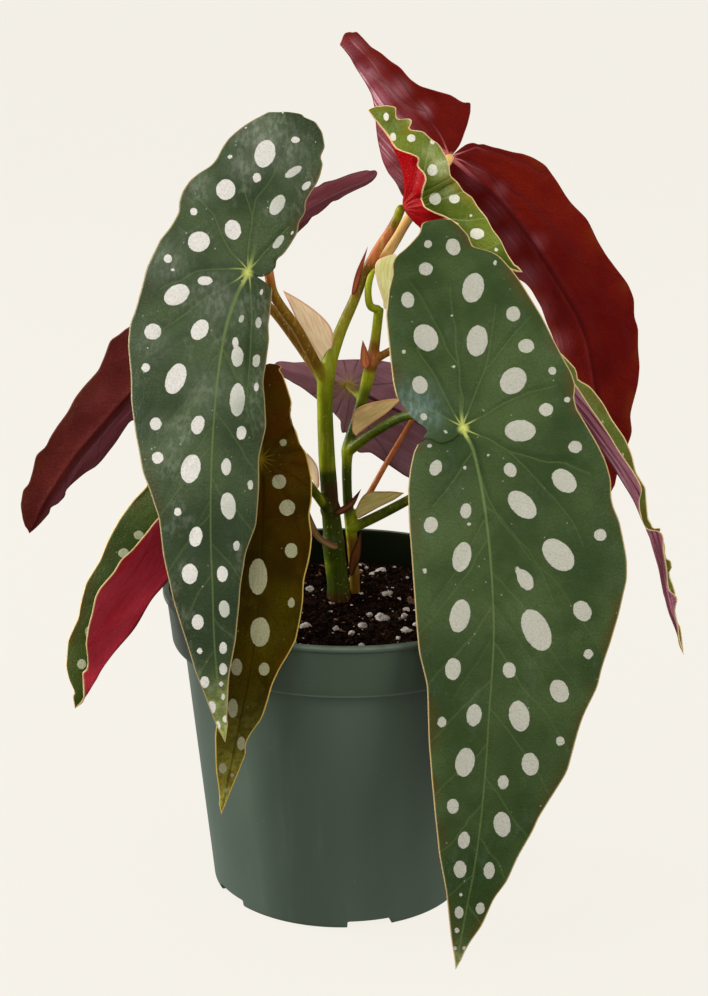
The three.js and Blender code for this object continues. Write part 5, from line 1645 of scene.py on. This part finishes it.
def potSkin(name, plan):
    material, wire = newShader(name)
    z = wire.node("ShaderNodeSeparateXYZ", None, {0: wire.place()}, output="Z") / mm
    streak = wire.grain(5, 3, (1, 1, 0.08)).fade(0.5, 0.8)
    specks = wire.cells(4.5).fade(0.03, 0.07, 1, 0) * wire.grain(9, 2).fade(0.5, 0.62)
    color = wire.paint(
        wire.mix(wire.grain(40, 2, (1, 1, 0.3)).fade(0.3, 0.7), plan["shade"], plan["plastic"]),
        (streak * 0.2, plan["scuff"]),
        (specks * 0.7, plan["dust"]),
        # painted shade: the rim band darker than the body
        (z.fade(potPlan["bandFoot"], potPlan["bandFoot"] + 1, 0, 0.6), plan["band"]),
    )
    for edge in (potPlan["bandFoot"] + 0.3, potPlan["height"] - 0.3):  # painted highlight along its edges
        paintedEdgeHighlight = abs(z - edge).fade(0.1, 0.6, 1, 0) * wire.grain(5, 3).fade(0.2, 0.6) * 0.7
        color = wire.mix(paintedEdgeHighlight, color, plan["scuff"])
    height = wire.grain(0.9, 3) * 0.5 + wire.grain(14, 2) * 1.0
    surface(wire, {
        "Base Color": color, "Roughness": wire.grain(8, 3) * 0.14 + (plan["roughness"] - 0.05),
        "Normal": wire.bump(height, 0.12, 0.3), "Specular IOR Level": plan["gloss"],
    })
    return material


def notchCutter(p, degrees):
    # a rounded block that cuts a notch out of the foot
    shape = bmesh.new()
    bmesh.ops.create_cube(shape, size=1)
    edges = list(shape.edges)
    bmesh.ops.bevel(shape, geom=edges, offset=p["notchBevel"], segments=2, profile=0.5, affect="EDGES")
    turn = Matrix.Rotation(math.radians(degrees), 4, "Z")
    move = Matrix.Translation((p["footRadius"] - p["notchReach"] / 2 + 2, 0, 0))
    scale = Matrix.Diagonal((p["notchReach"] + 4, p["notchWidth"], 2 * p["notchHeight"], 1))
    bmesh.ops.transform(shape, matrix=Matrix.Scale(mm, 4) @ turn @ move @ scale, verts=shape.verts)
    mesh = bpy.data.meshes.new("notch")
    shape.to_mesh(mesh)
    shape.free()
    cutter = bpy.data.objects.new("notch", mesh)
    scene.collection.objects.link(cutter)
    return cutter


def makePot(p):
    points, faces = lathe(potProfile(p), p["sides"])
    skins = [potSkin("potPlastic", potFinish["outside"]), potSkin("shadedPotWall", potFinish["inside"])]
    piece = makePiece("potShell", points, faces, skins)
    cutters = [notchCutter(p, p["notchTurn"] + 360 / p["notches"] * i) for i in range(p["notches"])]
    for cutter in cutters:
        cut = piece.modifiers.new("cut", "BOOLEAN")
        cut.operation = "DIFFERENCE"
        cut.solver = "EXACT"
        cut.object = cutter
    mesh = applyModifiers(piece)
    for cutter in cutters:
        bpy.data.objects.remove(cutter)
    sharpen(mesh, p["sharpTurn"])
    # faces turned inwards take the dark inside finish: painted shade inside the pot
    for face in mesh.polygons:
        inwards = face.normal.x * face.center.x + face.normal.y * face.center.y < 0
        face.material_index = 1 if inwards and face.center.z > 0.01 else 0
    return piece


def sharpen(mesh, degrees):
    # smooth shading, broken at the edges that are bent by more than degrees
    shape = bmesh.new()
    shape.from_mesh(mesh)
    for edge in shape.edges:
        edge.smooth = edge.calc_face_angle(0) < math.radians(degrees)
    for face in shape.faces:
        face.smooth = True
    shape.to_mesh(mesh)
    shape.free()


standFor(makePot(potPlan), "pot")
print("pot made")


# Soil, with perlite and bark

soilPlan = {
    "level": 86, "gap": 0.35, "lumpHeight": 1.5, "flatFrom": 50.5, "rings": 90, "sides": 300, "seed": 7,
    "perlite": 24, "bark": 8, "bitsReach": 46, "barkSize": 2.6, "smallestPerlite": 1.3,
    "crumbs": 1700, "fines": 300, "chips": 130, "smallReach": 50, "smallEdge": 50.4,
    "canesY": 17, "clearOfCanes": 10, "smallClear": 6,  # where the canes stand, and how far bits keep from there
}
# the peat colours are darker than the soil's own dark: painted shade inside the pot
soilFinish = {
    "peat": rgb(7, 3, 1), "shadedPeatPale": rgb(30, 16, 8), "fibre": rgb(92, 56, 34), "perlite": rgb(208, 200, 186),
    "perliteStain": rgb(136, 124, 106), "bark": rgb(128, 84, 48), "barkDark": rgb(66, 38, 22),
}


def countingRandom(seed):
    # the same draws as in the solid soil, so that the larger bits stay where they are
    state = seed
    while True:
        state = (state * 1664525 + 1013904223) % 4294967296
        yield state / 4294967296


def lump(x, y):
    waves = math.sin(x * 0.31 + 1.1) * math.cos(y * 0.27) + 0.5 * math.sin(x * 0.73 + y * 0.61)
    return soilPlan["lumpHeight"] * 0.5 * (waves + 0.35 * math.cos(x * 1.13 - y * 0.97))


def soilHeight(x, y):
    p = Vector((x, y, 0))
    rough = 0.9 * noise.noise(p / 3.1) + 0.55 * noise.noise(p / 1.3 + Vector((9, 4, 2)))
    edge = min(1, max(0, (soilPlan["flatFrom"] - math.hypot(x, y)) / 4))
    return soilPlan["level"] + edge * (lump(x, y) + rough)


def soilBody(p, pot):
    # fills the pot to its level
    bodyInside, bandInside, lipInside = potInsides(pot)
    low, high = pot["bandFoot"] + pot["wall"], pot["height"] - 0.6
    edge = bandInside + (lipInside - bandInside) * (p["level"] - low) / (high - low) - p["gap"]
    profile = [(0, p["level"])] + [(edge * k / p["rings"], p["level"]) for k in range(1, p["rings"] + 1)]
    profile += [
        (bandInside - p["gap"], low + 0.6), (bodyInside - p["gap"], pot["bandFoot"] - 0.7),
        (pot["footRadius"] - pot["wall"] - p["gap"], pot["floorThickness"] + p["gap"]),
        (0, pot["floorThickness"] + p["gap"]),
    ]
    points, faces = lathe(profile, p["sides"])
    top = 1 + p["rings"] * p["sides"]
    points = [(x, y, soilHeight(x, y)) if i < top else (x, y, z) for i, (x, y, z) in enumerate(points)]
    return points, [face[::-1] for face in faces]


def roundBit(level):
    shape = bmesh.new()
    bmesh.ops.create_icosphere(shape, subdivisions=level, radius=1)
    points = np.array([v.co for v in shape.verts])
    faces = [tuple(v.index for v in face.verts) for face in shape.faces]
    shape.free()
    return points, faces


def makeSoil(p, pot):
    points, faces = soilBody(p, pot)
    kinds = [0] * len(faces)  # 0 peat darkened with painted shade, 1 perlite, 2 bark
    bits = {level: roundBit(level) for level in (1, 2, 3)}
    rule = random.Random(p["seed"])

    def addBit(x, y, size, stretch, kind, level, turn=None, sink=0.15):
        shape, shapeFaces = bits[level]
        seed = Vector((rule.uniform(0, 90), rule.uniform(0, 90), 0))
        swell = np.array([
            1 + 0.32 * noise.noise(Vector(v) * 1.4 + seed) + 0.12 * noise.noise(Vector(v) * 3.5 + seed)
            for v in shape])
        turn = rule.uniform(0, 6.3) if turn is None else turn
        spin = Matrix.Rotation(turn, 3, "Z")
        tilt = Matrix.Rotation(rule.uniform(-0.35, 0.35), 3, "X")
        placed = shape * swell[:, None] * size * np.array(stretch)
        placed = placed @ np.array(spin @ tilt).T + (x, y, soilHeight(x, y) - sink * size)
        start = len(points)
        points.extend(placed.tolist())
        faces.extend(tuple(k + start for k in face) for face in shapeFaces)
        kinds.extend([kind] * len(shapeFaces))

    draw = countingRandom(p["seed"])
    for i in range(p["perlite"] + p["bark"]):
        isBark = i >= p["perlite"]
        spread, turn = p["bitsReach"] * math.sqrt(next(draw)), 2 * math.pi * next(draw)
        x, y = spread * math.cos(turn), spread * math.sin(turn)
        size = p["barkSize"] if isBark else p["smallestPerlite"] + next(draw)
        turn = 6 * next(draw)
        if math.hypot(x, y - p["canesY"]) > p["clearOfCanes"]:
            stretch = (1, 0.5, 0.45) if isBark else (1, 0.8, 0.75)
            addBit(x, y, size, stretch, 2 if isBark else 1, 3, turn)
    for count, kind, sizes, level in (
        (p["crumbs"], 0, (0.45, 1.5), 1), (p["fines"], 1, (0.2, 1.25), 2), (p["chips"], 2, (0.5, 1.7), 2),
    ):
        for _ in range(count):
            spread, turn = p["smallReach"] * math.sqrt(rule.random()), rule.uniform(0, 2 * math.pi)
            x, y = spread * math.cos(turn), spread * math.sin(turn)
            size = sizes[0] + (sizes[1] - sizes[0]) * rule.random() ** 2
            if spread + size > p["smallEdge"] or math.hypot(x, y - p["canesY"]) < p["smallClear"]:
                continue
            if kind == 2:
                stretch = (1, rule.uniform(0.3, 0.5), 0.35)
            else:
                stretch = (1, rule.uniform(0.7, 1), rule.uniform(0.6, 0.9))
            addBit(x, y, size, stretch, kind, level, sink=0.05)
    skins = [soilSkin(soilFinish), perliteSkin(soilFinish), barkSkin(soilFinish)]
    return makePiece("soilMix", points, faces, skins, kinds)


def soilSkin(plan):
    material, wire = newShader("peat")
    color = wire.mix(wire.grain(1.4, 4).fade(0.35, 0.7), plan["peat"], plan["shadedPeatPale"])
    color = wire.mix(wire.grain(0.8, 3).fade(0.57, 0.74), color, plan["fibre"])
    height = wire.grain(0.9, 4) + wire.cells(0.8) * 0.8
    surface(wire, {
        "Base Color": color, "Roughness": wire.grain(2, 2) * 0.2 + 0.75, "Normal": wire.bump(height, 0.9, 0.5),
        "Specular IOR Level": 0.03,
    })
    return material


def perliteSkin(plan):
    material, wire = newShader("perlite")
    color = wire.mix(wire.grain(0.9, 3).fade(0.4, 0.75), plan["perlite"], plan["perliteStain"])
    height = wire.cells(0.5) + wire.grain(0.6, 3)
    surface(wire, {
        "Base Color": color, "Roughness": wire.grain(1, 2) * 0.1 + 0.8, "Normal": wire.bump(height, 0.7, 0.3),
    })
    return material


def barkSkin(plan):
    material, wire = newShader("bark")
    color = wire.mix(wire.grain(0.7, 3, (0.3, 1, 1)).fade(0.35, 0.7), plan["bark"], plan["barkDark"])
    surface(wire, {
        "Base Color": color, "Roughness": wire.grain(1, 2) * 0.2 + 0.65,
        "Normal": wire.bump(wire.grain(0.6, 3), 0.7, 0.3),
    })
    return material


standFor(makeSoil(soilPlan, potPlan), "soil")
print("soil made")


# Floor, backdrop and light

stagePlan = {
    "paper": rgb(244, 240, 231), "fleck": rgb(236, 231, 221), "shade": rgb(40, 40, 39), "glow": 0.966,
    "halfWidth": 2.5, "front": -2.0, "bend": 1.2, "bendRadius": 0.8, "bendSteps": 16, "top": 3.0,  # metres
    "unlit": 0.99,        # how far the paper's own colour gives way to its glow
    "room": (1.0, 0.985, 0.96, 1), "ambient": 0.3,
}


def blend(share, first, second):
    return tuple(a + (b - a) * share for a, b in zip(first, second))


def makeStage(plan):
    # a sheet of paper that lies on the floor and bends up behind
    line, radius = [(plan["front"], 0)], plan["bendRadius"]
    for k in range(plan["bendSteps"] + 1):
        turn = math.pi / 2 * k / plan["bendSteps"]
        line.append((plan["bend"] + radius * math.sin(turn), radius * (1 - math.cos(turn))))
    line.append((plan["bend"] + radius, plan["top"]))
    points = [(side * plan["halfWidth"] / mm, y / mm, z / mm) for y, z in line for side in (-1, 1)]
    faces = [(2 * i, 2 * i + 1, 2 * i + 3, 2 * i + 2) for i in range(len(line) - 1)]
    material, wire = newShader("backdropPaper")
    cloud = wire.grain(60, 2) * 0.02
    color = wire.mix(cloud, plan["paper"], plan["fleck"])
    dark = [blend(plan["unlit"], plan[key], plan["shade"]) for key in ("paper", "fleck")]
    surface(wire, {
        "Base Color": wire.mix(cloud, *dark), "Roughness": 0.9, "Specular IOR Level": 0.1,
        "Emission Color": color, "Emission Strength": plan["glow"],
    })
    backdrop = makePiece("backdrop", points, faces, [material])
    backdrop.visible_diffuse = False   # it is seen but throws no haze on the plant
    backdrop.visible_glossy = False


lightAim = (0, 0, 0.12)
lights = {
    "keyLeft": {"place": (-0.75, -0.9, 0.95), "size": 0.7, "power": 9, "color": (1, 0.98, 0.95)},
    "fillRight": {"place": (0.95, -0.7, 0.7), "size": 0.8, "power": 8.5, "color": (1, 0.99, 0.97)},
    "front": {"place": (0.05, -1.5, 0.35), "size": 0.9, "power": 5, "color": (1, 0.99, 0.97)},
    "rimLeft": {"place": (-1.15, 0.3, 0.35), "size": 0.6, "power": 22, "color": (0.97, 0.99, 1)},
    "top": {"place": (0.1, 0.25, 1.2), "size": 0.9, "power": 4.5, "color": (1, 1, 1)},
}


def makeLights():
    for name, plan in lights.items():
        data = bpy.data.lights.new(name, "AREA")
        data.shape = "SQUARE"
        data.size = plan["size"]
        data.energy = plan["power"]
        data.color = plan["color"]
        lamp = bpy.data.objects.new(name, data)
        lamp.location = plan["place"]
        aim = Vector(lightAim) - lamp.location
        lamp.rotation_euler = aim.to_track_quat("-Z", "Y").to_euler()
        scene.collection.objects.link(lamp)
    world = bpy.data.worlds.new("room")
    world.use_nodes = True
    background = world.node_tree.nodes["Background"]
    background.inputs["Color"].default_value = stagePlan["room"]
    background.inputs["Strength"].default_value = stagePlan["ambient"]
    scene.world = world


makeStage(stagePlan)
makeLights()
scene.view_settings.view_transform = "Standard"
print("stage and light set")
